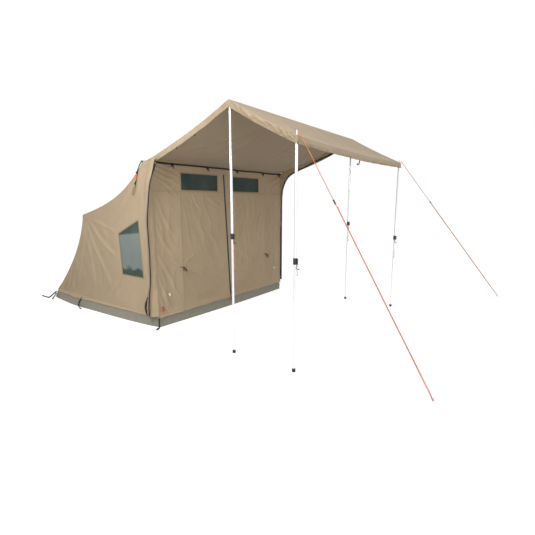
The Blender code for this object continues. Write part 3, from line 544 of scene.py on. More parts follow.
guyLines = {
    "left": [
        (-1.322, -1.9624, 2.064), (-1.321, -1.982, 2.061), (-1.318, -1.999, 2.038),
        (-1.293, -2.151, 1.759), (-1.266, -2.304, 1.479), (-1.240, -2.456, 1.198),
        (-1.214, -2.609, 0.918), (-1.188, -2.761, 0.637), (-1.163, -2.914, 0.357),
        (-1.149, -3.023, 0.156), (-1.136, -3.075, 0.057), (-1.1335, -3.0900, 0.026),
        (-1.1315, -3.0998, 0.018), (-1.1250, -3.1042, 0.013), (-1.1185, -3.0998, 0.018),
        (-1.1165, -3.0900, 0.026), (-1.116, -3.075, 0.057), (-1.128, -3.023, 0.156),
        (-1.150, -2.914, 0.357), (-1.177, -2.761, 0.637), (-1.204, -2.609, 0.918),
        (-1.231, -2.456, 1.198), (-1.257, -2.304, 1.479),
    ],
    "right": [
        (1.322, -1.9624, 2.064), (1.326, -1.982, 2.061), (1.336, -1.999, 2.038), (1.543, -2.162, 1.759),
        (1.758, -2.325, 1.479), (1.974, -2.489, 1.198), (2.190, -2.652, 0.918), (2.406, -2.815, 0.637),
        (2.621, -2.978, 0.357), (2.776, -3.095, 0.156), (2.855, -3.159, 0.057),
        (2.8657, -3.1694, 0.026), (2.8748, -3.1733, 0.018), (2.8822, -3.1712, 0.013),
        (2.8821, -3.1635, 0.018), (2.8759, -3.1558, 0.026), (2.867, -3.143, 0.057),
        (2.787, -3.083, 0.156), (2.630, -2.968, 0.357), (2.413, -2.806, 0.637), (2.196, -2.644, 0.918),
        (1.980, -2.481, 1.198), (1.764, -2.318, 1.479),
    ],
}
guyRope = {
    "radius": 0.0032, "readings": 420, "runnerTurn": 4, "runnerLength": 0.040, "runnerRadius": 0.0075,
    "topKnotAt": 14, "knots": (0.0042, 0.0040),
}


def smoothRoute(route, count):  # Hermite curve through a route, knots spaced by the root of each step
    nodes = np.array(route)
    knots = np.concatenate([[0], np.cumsum(np.linalg.norm(np.diff(nodes, axis=0), axis=1) ** 0.5)])
    slopes = np.empty_like(nodes)
    slopes[1:-1] = (nodes[2:] - nodes[:-2]) / (knots[2:] - knots[:-2])[:, None]
    slopes[0] = (nodes[1] - nodes[0]) / (knots[1] - knots[0])
    slopes[-1] = (nodes[-1] - nodes[-2]) / (knots[-1] - knots[-2])
    t = np.linspace(0, knots[-1], count)
    i = np.minimum(np.searchsorted(knots, t, "right") - 1, len(nodes) - 2)
    width = (knots[i + 1] - knots[i])[:, None]
    s = ((t - knots[i]) / width[:, 0])[:, None]
    a = 2 * s**3 - 3 * s**2 + 1
    read = nodes[i] * a + slopes[i] * (s**3 - 2 * s**2 + s) * width
    return read + nodes[i + 1] * (1 - a) + slopes[i + 1] * (s**3 - s**2) * width


def routeFrom(at, steps, count):  # a smooth route through steps measured from one place
    return smoothRoute(np.array(steps) + at, count)


def knotAt(name, centre, heading, size, material):  # two crossed turns of rope pulled tight
    t = np.linspace(0, 2 * np.pi * 1.9, 46)
    heading = np.array(heading) / np.linalg.norm(heading)
    side = np.cross(heading, (0.31, 0.2, 0.93))
    side /= np.linalg.norm(side)
    other = np.cross(heading, side)
    lift = np.sin(t * 0.52) * size * 0.9
    path = np.array(centre) + side * (size * np.cos(t))[:, None] + other * (size * np.sin(t))[:, None]
    return tubeAlong(name, path + heading * lift[:, None], size * 0.62, material, 8)


def makeGuyLine(word, route):
    path = smoothRoute(route, guyRope["readings"])
    made = tubeAlong(f"guyRope_{word}", path, guyRope["radius"], rope, 8)
    ride(made, "root", "orange", f"guy_line_{word}")
    top, second = np.array(route[guyRope["runnerTurn"]:guyRope["runnerTurn"] + 2])
    along = (top - second) / np.linalg.norm(top - second)
    shares = np.linspace(-0.5, 0.5, 15)
    waist = guyRope["runnerRadius"] * (0.82 + 0.30 * np.abs(2 * shares) ** 2.5)
    waist[[0, -1]] *= 0.8
    spine = top + along * ((1 + shares) * guyRope["runnerLength"])[:, None]
    runner = tubeAlong(f"runner_{word}", spine, waist, blackPlastic, 16)
    ride(runner, "root", "plastic", f"guy_runner_{word}")
    low, high = path[guyRope["topKnotAt"]:guyRope["topKnotAt"] + 2]
    knots = [
        knotAt(f"runnerKnot_{word}", np.array(route[-1]) - along * 0.012, along, guyRope["knots"][0], rope),
        knotAt(f"topKnot_{word}", low, high - low, guyRope["knots"][1], rope),
    ]
    for knot in knots:
        ride(knot, "root", "orange")


for word, route in guyLines.items():
    makeGuyLine(word, route)


# Tent body: its outlines are the part's, read finely, and its cloth is worked in the plane of each wall

tentBody = {
    "seam": (0.08, 1.978), "shoulder": (0.142, 1.979), "rearTop": (1.611, 1.329), "rearHem": (2.575, 0.1203),
    "roofSag": 0.14, "roofSagLean": 0.8, "rearSag": 0.12, "rearSagLean": 0.75, "leadShare": 0.1,
    "gap": 0.0003, "cornerRound": 0.012,
}
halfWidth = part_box("roof")[1].x
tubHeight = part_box("groundsheet")[1].z
wallLow = tubHeight + tentBody["gap"]
frontTop = float(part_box("front_wall")[1].z)

pegPull = {"corner": 2.64, "out": 0.018, "back": 0.036, "reach": 0.26, "high": 0.29}


def pulledOut(points):  # the shift fades with exp(-(distance from the corner / reach)^2) and with height
    x, y, z = points[..., 0], points[..., 1], points[..., 2]
    share = np.exp(-((np.hypot(np.abs(x) - halfWidth, y - pegPull["corner"]) / pegPull["reach"]) ** 2))
    share = share * ramp(pegPull["high"] - z, 0, pegPull["high"])
    return points + spots(np.sign(x) * pegPull["out"] * share, pegPull["back"] * share, 0)


def hang(start, end, sag, lean, share):  # a line that sags square to itself, deepest nearer its start
    start, end = np.array(start), np.array(end)
    along = end - start
    inward = np.array((along[1], -along[0])) / np.hypot(*along)
    share = share[:, None]
    return start + along * share + inward * sag * np.sin(np.pi * share**lean)


def roofLine(share):  # from the front seam over the shoulder to the rear bar
    lead = tentBody["leadShare"]
    shoulder, rear = np.array(tentBody["shoulder"]), np.array(tentBody["rearTop"])
    front = between(np.array(tentBody["seam"]), shoulder, (share / lead)[:, None])
    depth = tentBody["roofSag"] * (rear - shoulder)[0] / np.hypot(*(rear - shoulder))
    rest = hang(shoulder, rear, depth, tentBody["roofSagLean"], np.clip((share - lead) / (1 - lead), 0, 1))
    return np.where((share < lead)[:, None], front, rest)


def rearLine(share):
    return hang(tentBody["rearTop"], tentBody["rearHem"], tentBody["rearSag"], tentBody["rearSagLean"], share)


def rounded(line, reach):  # corners of a dense line eased by averaging each point with its neighbours
    far = walked(line)
    even = np.linspace(0, far[-1], 1400)
    line = np.stack([np.interp(even, far, line[:, k]) for k in (0, 1)], -1)
    span = max(int(reach / far[-1] * 1400), 1)
    padded = np.concatenate([np.repeat(line[:1], span, 0), line, np.repeat(line[-1:], span, 0)])
    kernel = np.ones(2 * span + 1) / (2 * span + 1)
    eased = np.stack([np.convolve(padded[:, k], kernel, "valid") for k in (0, 1)], -1)
    eased[:span], eased[-span:] = line[:span], line[-span:]
    return eased


def inset(line, depth):  # the same line moved square to itself, into the tent
    heading = headings(line)
    return line + np.stack([heading[:, 1], -heading[:, 0]], -1) * depth


def readLine(line, share):  # places at shares of a line's length
    far = walked(line) / walked(line)[-1]
    return np.stack([np.interp(share, far, line[:, k]) for k in (0, 1)], -1)


shares = np.linspace(0, 1, 900)
bodyLine = rounded(np.concatenate([roofLine(shares), rearLine(shares)[1:]]), tentBody["cornerRound"])
cornerAt = int(np.argmin(np.linalg.norm(bodyLine - tentBody["rearTop"], axis=1)))
roofOutline, rearOutline = bodyLine[:cornerAt + 1], bodyLine[cornerAt:]

# How deep a wall sinks between its edges, how far it may rise, and the height that counts as a full fold
stretched = {"sunk": 0.010, "lift": 0.002, "fold": 0.006}

roofCloth = {"cells": (150, 120), "slack": 0.006, "ripple": 0.0035}
roofCreases = [  # (across, along, across, along, width, height): pulls from the corners and the bars
    (-1.25, 0.20, -0.55, 0.75, 0.030, 0.007), (1.25, 0.20, 0.60, 0.70, 0.030, 0.007),
    (-1.25, 1.55, -0.50, 1.05, 0.035, 0.008), (1.25, 1.55, 0.55, 1.10, 0.035, 0.008),
    (-0.85, 0.10, -0.75, 1.10, 0.040, 0.005), (0.10, 0.12, 0.05, 1.20, 0.045, 0.005),
    (0.80, 0.12, 0.90, 1.00, 0.040, 0.005), (-0.35, 0.60, -0.30, 1.60, 0.035, 0.005),
]


def makeRoof():  # (across, along): the outline swept from side to side, sunk between its bars
    along = np.linspace(0, 1, roofCloth["cells"][1])
    line = readLine(roofOutline, along)
    length = walked(roofOutline)[-1]
    p, q = grid(np.linspace(-halfWidth, halfWidth, roofCloth["cells"][0]), along * length)
    edge = humpAcross(p / halfWidth) * hump(q / length * 0.94 + 0.03)
    held = np.sqrt(edge) * ramp(q, 0.09, 0.2) * ramp(length - q, 0.02, 0.12)
    height = ridges(p, q, roofCreases) + roofCloth["ripple"] * sharpWaves(p, q, 11, 0.55, (1.0, 0.5))
    drop = held * (roofCloth["slack"] * waves(p, q, 5, 0.9) + stretched["sunk"] - height)
    points = spots(p, line[:, 0], line[:, 1] - np.maximum(drop, -stretched["lift"]))
    return clothGrid("roofCloth", points, canvas, asFold(height * held, stretched["fold"]))


rearCloth = {"cells": (150, 110), "slack": 0.005, "ripple": 0.004, "outAtFoot": 0.003}
rearCreases = [
    (-1.20, 0.05, -0.80, 1.30, 0.035, 0.008), (1.20, 0.05, 0.80, 1.30, 0.035, 0.008),
    (-0.60, 0.05, -0.45, 1.20, 0.040, 0.006), (0.00, 0.10, 0.05, 1.35, 0.040, 0.006),
    (0.55, 0.05, 0.45, 1.30, 0.040, 0.006), (-1.10, 1.45, -0.30, 0.90, 0.030, 0.006),
    (1.10, 1.45, 0.35, 0.95, 0.030, 0.006), (-0.25, 0.10, -0.60, 0.75, 0.030, 0.005),
]


def rearPoints(across, down, lift):  # (across, down): the rear outline swept from side to side, and its folds
    line = readLine(rearOutline, down)
    heading = headings(line)
    length = walked(rearOutline)[-1]
    p, q = grid(across, down * length)
    held = np.sqrt(humpAcross(p / halfWidth)) * ramp(q, 0.02, 0.15) * ramp(length - q, 0.0, 0.10)
    height = ridges(p, q, rearCreases) + rearCloth["ripple"] * sharpWaves(p, q, 23, 0.5, (1.0, 0.6))
    drop = held * (stretched["sunk"] + rearCloth["slack"] * waves(p, q, 8, 0.9) - height)
    push = np.maximum(drop, -stretched["lift"]) - lift
    back = line[:, 0] + heading[:, 1] * push + rearCloth["outAtFoot"] * (q / length)
    return spots(p, back, line[:, 1] - heading[:, 0] * push), height * held


def makeRearWall():
    across = np.linspace(-halfWidth, halfWidth, rearCloth["cells"][0])
    points, fold = rearPoints(across, np.linspace(0.003, 1, rearCloth["cells"][1]), 0.0)
    return clothGrid("rearCloth", pulledOut(points), canvas, asFold(fold, stretched["fold"]))


# Side walls: blended between front edge, roof, rear wall and hem

sideWall = {
    "cells": (190, 130), "inset": 0.0033, "reach": (2.3, 1.4), "seeds": {"left": 31, "right": 47},
    "sunk": 0.004, "slack": 0.008, "folds": 0.70, "deepest": 0.011, "highest": 0.026, "fold": 0.014,
}
sideCreases = [  # (back, up) in the wall's plane
    (0.15, 1.88, 0.70, 1.38, 0.024, 0.013), (0.30, 1.80, 0.98, 1.16, 0.028, 0.012),
    (0.20, 1.66, 0.26, 1.32, 0.020, 0.009), (0.18, 1.90, 0.34, 1.40, 0.018, 0.010),
    (1.56, 1.28, 1.02, 0.30, 0.045, 0.020), (1.60, 1.24, 1.42, 0.20, 0.040, 0.016),
    (1.60, 1.18, 1.90, 0.26, 0.036, 0.015), (1.54, 1.30, 0.80, 0.74, 0.036, 0.016),
    (1.48, 1.32, 0.80, 1.10, 0.026, 0.010), (1.16, 1.30, 1.02, 0.86, 0.040, 0.008),
    (0.76, 0.56, 1.10, 0.15, 0.028, 0.012), (1.72, 1.02, 2.34, 0.22, 0.030, 0.013),
    (0.30, 0.56, 0.36, 0.15, 0.022, 0.009), (0.52, 0.56, 0.70, 0.15, 0.024, 0.010),
    (1.84, 0.66, 2.14, 0.13, 0.020, 0.028), (2.01, 0.62, 2.30, 0.13, 0.019, 0.036),
    (2.14, 0.46, 2.42, 0.12, 0.016, 0.026), (1.30, 0.62, 1.34, 0.14, 0.024, 0.010),
]
sideWindow = {
    "front": (0.264, 0.308), "rear": (0.708, 0.738), "low": 0.588, "frontHigh": 1.295, "rearHigh": 1.110,
    "lap": 0.012, "hem": 0.007, "tape": 0.017, "tapeOut": 0.0008,
    "netIn": 0.0036, "netBow": 0.003, "netSlack": 0.006,
    "backedUnder": (1.14, -0.10, 0.31), "backedOver": (0.655, 0.700),  # where cloth backs the net
}


def sideGrid(columns, rows):  # a patch blended from its four edge lines
    u = np.linspace(0, 1, columns)[:, None, None]
    v = np.linspace(0, 1, rows)[None, :, None]
    topLine = np.concatenate([[[sideWall["inset"], frontTop]], inset(roofOutline, sideWall["inset"])])
    rearUp = inset(rearOutline, sideWall["inset"])[::-1]
    high = readLine(topLine, u[:, 0, 0])[:, None]
    rear = readLine(rearUp, v[0, :, 0])[None]
    rear = rear + (high[-1:] - rear[:, -1:]) * v
    frontLow = np.array((sideWall["inset"], wallLow))
    rearLow = np.array((rear[0, 0, 0], wallLow))
    low = between(frontLow, rearLow, u)
    front = between(frontLow, high[0, 0], v)
    rear = rear + (rearLow - rear[:, :1]) * (1 - v)
    corners = between(low, between(high[0, 0], high[-1, 0], u), v)
    return between(low, high, v) + between(front, rear, u) - corners, u[..., 0], v[..., 0]


def awayFromWindow(y, z):  # 0 inside the window
    front, rear = sideWindow["front"][1], sideWindow["rear"][1]
    top = between(sideWindow["frontHigh"], sideWindow["rearHigh"], (y - front) / (rear - front))
    outside = (sideWindow["front"][0] - y, y - rear, sideWindow["low"] - z, z - top)
    return np.maximum(np.maximum.reduce(outside), 0)


def sideDepth(y, z, u, v, seed):  # how far the wall's cloth lies inside its plane, and its folds
    back, up = sideWall["reach"]
    edge = np.minimum(np.minimum(u, 1 - u) * back, np.minimum(v, 1 - v) * up)
    held = ramp(edge, -0.01, 0.12) * ramp(awayFromWindow(y, z), 0.02, 0.14)
    height = ridges(y, z, sideCreases) + 0.005 * sharpWaves(y, z, seed, 0.40, (1.0, 0.55))
    slack = sideWall["sunk"] + sideWall["slack"] * waves(y, z, seed + 1, 0.9)
    depth = held * (slack - sideWall["folds"] * height)
    inwards = sideWall["deepest"] * np.tanh(depth / sideWall["deepest"])
    return np.where(depth > 0, inwards, np.maximum(depth, -sideWall["highest"])), height * held


def makeSideWall(word, side):
    place, u, v = sideGrid(*sideWall["cells"])
    y, z = place[..., 0], place[..., 1]
    depth, height = sideDepth(y, z, u, v, sideWall["seeds"][word])
    points = pulledOut(spots(side * (halfWidth - depth), y, z))
    made = clothGrid(f"sideCloth_{word}", points, canvas, asFold(height, sideWall["fold"]), flip=side < 0)
    bm = bmesh.new()
    bmesh.ops.create_cube(bm, size=2)
    for corner in bm.verts:
        back, up = corner.co.y > 0, corner.co.z > 0
        high = sideWindow["rearHigh"] if back else sideWindow["frontHigh"]
        edge = sideWindow["rear" if back else "front"][1 if up else 0]
        corner.co = (side * halfWidth + corner.co.x * 0.05, edge, high if up else sideWindow["low"])
    mesh = bpy.data.meshes.new("windowBlock")
    bm.to_mesh(mesh)
    bm.free()
    block = newObject(f"windowBlock_{word}", mesh)
    hole = made.modifiers.new("window", "BOOLEAN")
    hole.operation = "DIFFERENCE"
    hole.solver = "EXACT"
    hole.object = block
    settle(made)
    bpy.data.objects.remove(block)
    return made


def settle(made):  # the modifiers so far become the mesh itself
    bpy.context.view_layer.update()
    graph = bpy.context.evaluated_depsgraph_get()
    mesh = bpy.data.meshes.new_from_object(made.evaluated_get(graph))
    made.modifiers.clear()
    made.data = mesh


def windowPoint(s, t, grow):  # (back, up) in the side window, s and t from 0 to 1, grown by a lap
    front, rear = between(*sideWindow["front"], t) - grow, between(*sideWindow["rear"], t) + grow
    high = between(sideWindow["frontHigh"], sideWindow["rearHigh"], s) + grow
    return between(front, rear, s), between(sideWindow["low"] - grow, high, t)


def makeSideWindow(word, side):
    s, t = grid(np.linspace(0, 1, 44), np.linspace(0, 1, 60))
    y, z = windowPoint(s, t, sideWindow["lap"])
    slack = sideWindow["netSlack"] * waves(y, z, 61, 0.5) * hump(s) * hump(t)
    bow = sideWindow["netBow"] * np.sqrt(hump(s) * hump(t))
    inner = halfWidth - sideWindow["netIn"] - bow + slack * 0.4
    high, slope, start = sideWindow["backedUnder"]
    sheer = ramp(z - (high + slope * (y - start)), 0.006, -0.006)
    sheer = sheer * ramp(z + 0.045 * waves(y, z, 63, 0.22), *sideWindow["backedOver"])
    made = clothGrid(f"sideNet_{word}", spots(side * inner, y, z), netGreen, sheer, netThick, flip=side < 0)
    corners = [windowPoint(*at, sideWindow["hem"]) for at in ((0, 0), (0, 1), (1, 1), (1, 0), (0, 0))]
    binding = []
    for number, (first, last) in enumerate(zip(corners, corners[1:])):
        line = np.linspace(first, last, 24)
        run = spots(side * (halfWidth + sideWindow["tapeOut"]), line[:, 0], line[:, 1])
        across, width = np.cross(run[-1] - run[0], (side, 0, 0)), sideWindow["tape"]
        tape = ribbon(f"sideBinding_{word}_{number}", run, across, width, tapeThick, tanTape, 0.0008)
        binding.append(ride(tape, "root", "canvas"))
    return made, binding


# Front wall and doors: one plane, x across and z up, with the doors cut out of it

frontWall = {
    "doorLeft": -0.886, "doorRight": 0.878, "doorTop": 1.885,
    "zipFoot": 0.0, "zipHead": -0.107, "zipHalf": 0.014,
    "windowLow": 1.655, "windowHigh": 1.870, "leftHem": (0.006, 0.123), "rightHem": (0.198, 0.147),
    "lap": 0.012, "tape": 0.014, "tapeOut": 0.0012, "clear": 0.009, "netIn": 0.0038, "netSlack": 0.0025,
    "sunk": 0.014, "slack": 0.006, "lift": 0.003, "fold": 0.014,
}
frontCreases = [
    (-1.31, 1.960, -0.84, 1.88, 0.010, 0.016), (-1.31, 1.925, -0.86, 1.80, 0.012, 0.020),
    (-1.31, 1.885, -0.88, 1.70, 0.014, 0.020), (-1.31, 1.840, -0.90, 1.58, 0.016, 0.015),
    (-1.31, 1.62, -1.00, 1.12, 0.022, 0.009), (-1.30, 1.28, -0.98, 0.78, 0.026, 0.009),
    (-1.28, 0.98, -1.04, 0.46, 0.026, 0.009), (-1.28, 0.66, -1.12, 0.14, 0.020, 0.012),
    (-1.26, 0.42, -1.02, 0.13, 0.018, 0.011), (-1.25, 0.32, -1.16, 0.13, 0.012, 0.011),
    (-1.05, 0.55, -0.92, 0.15, 0.020, 0.007), (1.30, 1.94, 0.90, 1.78, 0.013, 0.012),
    (1.30, 1.89, 0.92, 1.58, 0.017, 0.009), (1.27, 1.60, 0.98, 1.10, 0.024, 0.007),
    (1.22, 1.10, 1.02, 0.40, 0.026, 0.007), (1.24, 0.55, 1.08, 0.13, 0.020, 0.008),
    (0.90, 0.68, 0.95, 1.14, 0.014, 0.010), (-0.90, 0.67, -1.06, 0.86, 0.014, 0.007),
]
doorCreases = [
    (-0.82, 1.650, -0.66, 1.50, 0.014, 0.010), (-0.72, 1.650, -0.54, 1.42, 0.017, 0.009),
    (-0.50, 1.655, -0.14, 1.40, 0.018, 0.012), (-0.34, 1.655, -0.13, 1.50, 0.013, 0.009),
    (-0.88, 1.54, -0.72, 0.98, 0.026, 0.007), (-0.62, 1.30, -0.34, 0.86, 0.040, 0.005),
    (-0.86, 0.92, -0.10, 0.42, 0.038, 0.008), (-0.86, 0.68, -0.16, 0.28, 0.032, 0.008),
    (-0.84, 0.44, -0.36, 0.17, 0.026, 0.007), (-0.30, 1.00, -0.08, 0.62, 0.034, 0.005),
    (-0.23, 1.88, -0.14, 1.62, 0.014, 0.009), (0.00, 1.640, 0.22, 1.42, 0.017, 0.007),
    (0.10, 0.86, 0.82, 0.44, 0.036, 0.007), (0.06, 0.62, 0.84, 0.26, 0.032, 0.008),
    (0.45, 1.60, 0.42, 1.00, 0.040, 0.004), (0.84, 1.56, 0.70, 1.02, 0.022, 0.009),
    (0.87, 1.42, 0.80, 0.80, 0.016, 0.012), (0.80, 1.50, 0.77, 0.86, 0.018, 0.008),
    (0.86, 0.50, 0.70, 0.16, 0.022, 0.007), (0.70, 1.90, 0.87, 1.66, 0.014, 0.008),
    (-0.875, 0.68, -0.62, 0.56, 0.014, 0.009), (-0.875, 0.66, -0.76, 0.36, 0.013, 0.009),
    (-0.875, 0.70, -0.66, 0.86, 0.014, 0.008), (0.865, 0.66, 0.66, 0.54, 0.014, 0.009),
    (0.865, 0.68, 0.84, 1.06, 0.014, 0.010),
]


def stations(*runs):  # several even runs end to end: (from, to, cells)
    parts = [np.linspace(low, high, cells + 1) for low, high, cells in runs]
    return np.concatenate(parts[:1] + [part[1:] for part in parts[1:]])


def frontDepth(held, x, z, seed, height):  # how far the front's cloth hangs inside its plane
    depth = held * (frontWall["sunk"] + frontWall["slack"] * waves(x, z, seed, 0.6) - height)
    return np.maximum(depth, -frontWall["lift"])


def makeFrontWall():
    left, right, top = frontWall["doorLeft"], frontWall["doorRight"], frontWall["doorTop"]
    across = stations((-halfWidth, left, 60), (left, right, 90), (right, halfWidth, 60))
    x, z = grid(across, stations((wallLow, top, 180), (top, frontTop, 12)))
    edge = np.where(x < 0, -left, right)
    share = np.clip((np.abs(x) - edge) / (halfWidth - edge), 0, 1)
    held = np.sqrt(hump(share * 0.93)) * ramp(z, wallLow, wallLow + 0.10) * ramp(frontTop - z, 0.01, 0.05)
    height = ridges(x, z, frontCreases) + 0.005 * sharpWaves(x, z, 71, 0.30, (1.3, 0.5))
    points = spots(x, frontDepth(held, x, z, 72, height), z)
    doorway = (centred(x) > left) & (centred(x) < right) & (centred(z) < top)
    return clothGrid("frontCloth", points, canvas, asFold(height * held, frontWall["fold"]), keep=~doorway)


def zipX(z):  # the doors' zip leans to the left
    share = (z - wallLow) / (frontWall["doorTop"] - wallLow)
    return between(frontWall["zipFoot"], frontWall["zipHead"], share)


def makeDoor(word, side):
    gap = tentBody["gap"]
    hinge = frontWall["doorLeft" if side < 0 else "doorRight"]
    hingeHem, zipHem = frontWall[word + "Hem"]
    windowLow, windowHigh = frontWall["windowLow"], frontWall["windowHigh"]
    windowAt = sorted((hinge - side * hingeHem, frontWall["zipHead"] + side * zipHem))
    low, high = wallLow + gap, frontWall["doorTop"] - gap
    toZip = side * (frontWall["zipHalf"] + gap)
    zipSide = zipX((windowLow + windowHigh) / 2) + toZip
    marks = sorted((edge - hinge) / (zipSide - hinge) for edge in windowAt)
    share = stations((0, marks[0], 14), (marks[0], marks[1], 100), (marks[1], 1, 24))
    s, z = grid(share, stations((low, windowLow, 170), (windowLow, windowHigh, 18), (windowHigh, high, 4)))
    start = hinge - side * gap
    x = between(start, zipX(z) + toZip, s)
    up = np.clip((z - low) / (windowLow - low), 0, 1)
    held = np.sqrt(hump(s * 0.94 + 0.03)) * ramp(up, 0, 0.05) * ramp(1 - up, 0.0, 0.10)
    height = ridges(x, z, doorCreases) + 0.004 * sharpWaves(x, z, 81 + side, 0.28, (1.3, 0.5))
    points, fold = spots(x, frontDepth(held, x, z, 82, height), z), asFold(height * held, frontWall["fold"])
    s, z = centred(s), centred(z)
    window = (s > marks[0]) & (s < marks[1]) & (z > windowLow) & (z < windowHigh)
    door = clothGrid(f"doorCloth_{word}", points, canvas, fold, keep=~window, flip=side > 0)
    lap = frontWall["lap"]
    run = np.linspace(windowAt[0] - lap, windowAt[1] + lap, 60)
    x, z = grid(run, np.linspace(windowLow - lap, windowHigh + lap, 24))
    slack = frontWall["netSlack"] * (1 + waves(x, z, 91 + side, 0.25))
    points = spots(x, frontWall["netIn"] + slack, z)
    # the fold value paints the door net paler in wavy patches: painted highlight
    net = clothGrid(f"doorNet_{word}", points, netDark, 0.35 * (1 + waves(x, z, 95, 0.3)), netThick)
    edges = [((windowAt[0], z), (windowAt[1], z)) for z in (windowLow, windowHigh)]
    edges += [((x, windowLow), (x, windowHigh)) for x in windowAt]
    tapes = []
    for number, (first, last) in enumerate(edges):
        line = np.linspace(first, last, 20)
        clear = np.maximum(line[:, 0], frontWall["doorLeft"] + frontWall["clear"])  # not over the left hinge
        run = spots(clear, -frontWall["tapeOut"], line[:, 1])
        across = np.cross(run[-1] - run[0], (0, 1, 0))
        name = f"doorBinding_{word}_{number}"
        tapes.append(ribbon(name, run, across, frontWall["tape"], 0.0016, tanTape, -0.0006))
    return door, net, tapes


# Awning: a sheet over the ridge bar, with a valance turned down at the sides and the eave

awning = {
    "half": 1.34, "rearHalf": 1.303, "ridge": (-1.24, 2.428), "eave": (-1.975, 2.045), "flatY": -0.05,
    "narrowY": -0.50, "rearSag": 0.04, "frontSag": 0.010, "round": 0.014, "midSag": 0.030, "droop": 0.018,
    "folds": 1.8, "ripple": 0.005, "slack": 0.006, "sunk": 0.005, "fold": 0.012,
    "valance": 0.065, "flare": 0.006, "valanceBack": 0.02,
    "valanceSway": 0.006, "valanceRipple": (0.003, 0.009),  # at the sides and in front
}
awningCreases = [
    (-1.25, 0.35, -0.60, 1.05, 0.030, 0.006), (-1.00, 0.10, -0.20, 0.90, 0.030, 0.005),
    (0.10, 0.10, 0.35, 1.10, 0.035, 0.005), (1.22, 0.40, 0.60, 1.10, 0.030, 0.006),
    (1.20, 0.10, 0.75, 0.70, 0.028, 0.005), (-0.50, 0.30, -0.55, 1.25, 0.040, 0.005),
    (-1.30, 2.02, -0.70, 1.50, 0.026, 0.006), (1.30, 2.02, 0.70, 1.50, 0.026, 0.006),
    (-0.20, 1.36, -0.25, 2.05, 0.035, 0.005), (0.45, 1.36, 0.48, 2.05, 0.035, 0.005),
    (-0.75, 1.36, -0.80, 2.05, 0.030, 0.004), (0.95, 1.36, 0.98, 2.05, 0.030, 0.004),
]
valanceCreases = [  # (forwards, down): the side valance pulled towards the ridge and the front pole
    (1.262, 0.004, 1.42, -0.052, 0.012, 0.017), (1.350, 0.006, 1.54, -0.054, 0.013, 0.020),
    (1.500, 0.006, 1.70, -0.052, 0.012, 0.017), (1.640, 0.006, 1.82, -0.056, 0.012, 0.021),
    (1.760, 0.006, 1.92, -0.056, 0.010, 0.019), (1.860, 0.002, 1.96, -0.050, 0.008, 0.014),
    (1.970, -0.018, 1.86, -0.032, 0.007, 0.011), (1.225, 0.000, 1.13, -0.046, 0.009, 0.013),
    (1.100, 0.002, 0.93, -0.046, 0.011, 0.009), (0.860, 0.002, 0.70, -0.044, 0.011, 0.008),
    (0.560, 0.002, 0.42, -0.044, 0.011, 0.008), (0.300, 0.002, 0.14, -0.050, 0.010, 0.010),
]


def awningLine(y):
    ridgeY, ridgeZ = awning["ridge"]
    eaveY, eaveZ = awning["eave"]
    seamY, seamZ = tentBody["seam"]
    back = (seamY - y) / (seamY - ridgeY)
    ahead = (ridgeY - y) / (ridgeY - eaveY)
    rear = between(seamZ, ridgeZ, back) - awning["rearSag"] * np.sin(np.pi * np.clip(back, 0, 1))
    front = between(ridgeZ, eaveZ, ahead) - awning["frontSag"] * np.sin(np.pi * np.clip(ahead, 0, 1))
    away = np.abs(y - ridgeY)
    lift = 0.45 * (awning["round"] - np.sqrt(away**2 + awning["round"] ** 2) + away) * np.exp(-away / 0.08)
    return np.where(y > ridgeY, rear, front) + lift


def awningHalfAt(y):  # narrower towards the seam
    return between(awning["half"], awning["rearHalf"], ramp(y, awning["narrowY"], tentBody["seam"][0]))


def awningHeight(x, y):  # the sheet's top face, and how high its folds stand
    half = awningHalfAt(y)
    middle = 1 - np.clip(np.abs(x) / half, 0, 1) ** 2
    ridgeY = awning["ridge"][0]
    behind = (awning["flatY"] - y) / (awning["flatY"] - ridgeY)
    ahead = (ridgeY - y) / (ridgeY - awning["eave"][0])
    share = np.clip(np.where(y > ridgeY, behind, ahead), 0, 1)
    drop = awning["midSag"] * middle * np.sin(np.pi * share)
    drop = drop + np.where(y < ridgeY, awning["droop"] * middle * share, 0)
    p, q = x, tentBody["seam"][0] - y
    held = np.sqrt(np.clip(middle, 0, 1)) * np.sqrt(np.sin(np.pi * np.clip(share * 0.92 + 0.04, 0, 1)))
    held = held * ramp(np.abs(y - ridgeY), 0.012, 0.09)
    height = awning["folds"] * ridges(p, q, awningCreases)
    height = height + awning["ripple"] * sharpWaves(p, q, 103, 0.45, (1.0, 0.6))
    fold = held * (height + awning["slack"] * waves(p, q, 104, 0.9) - awning["sunk"])
    return awningLine(y) - drop + fold, height * held


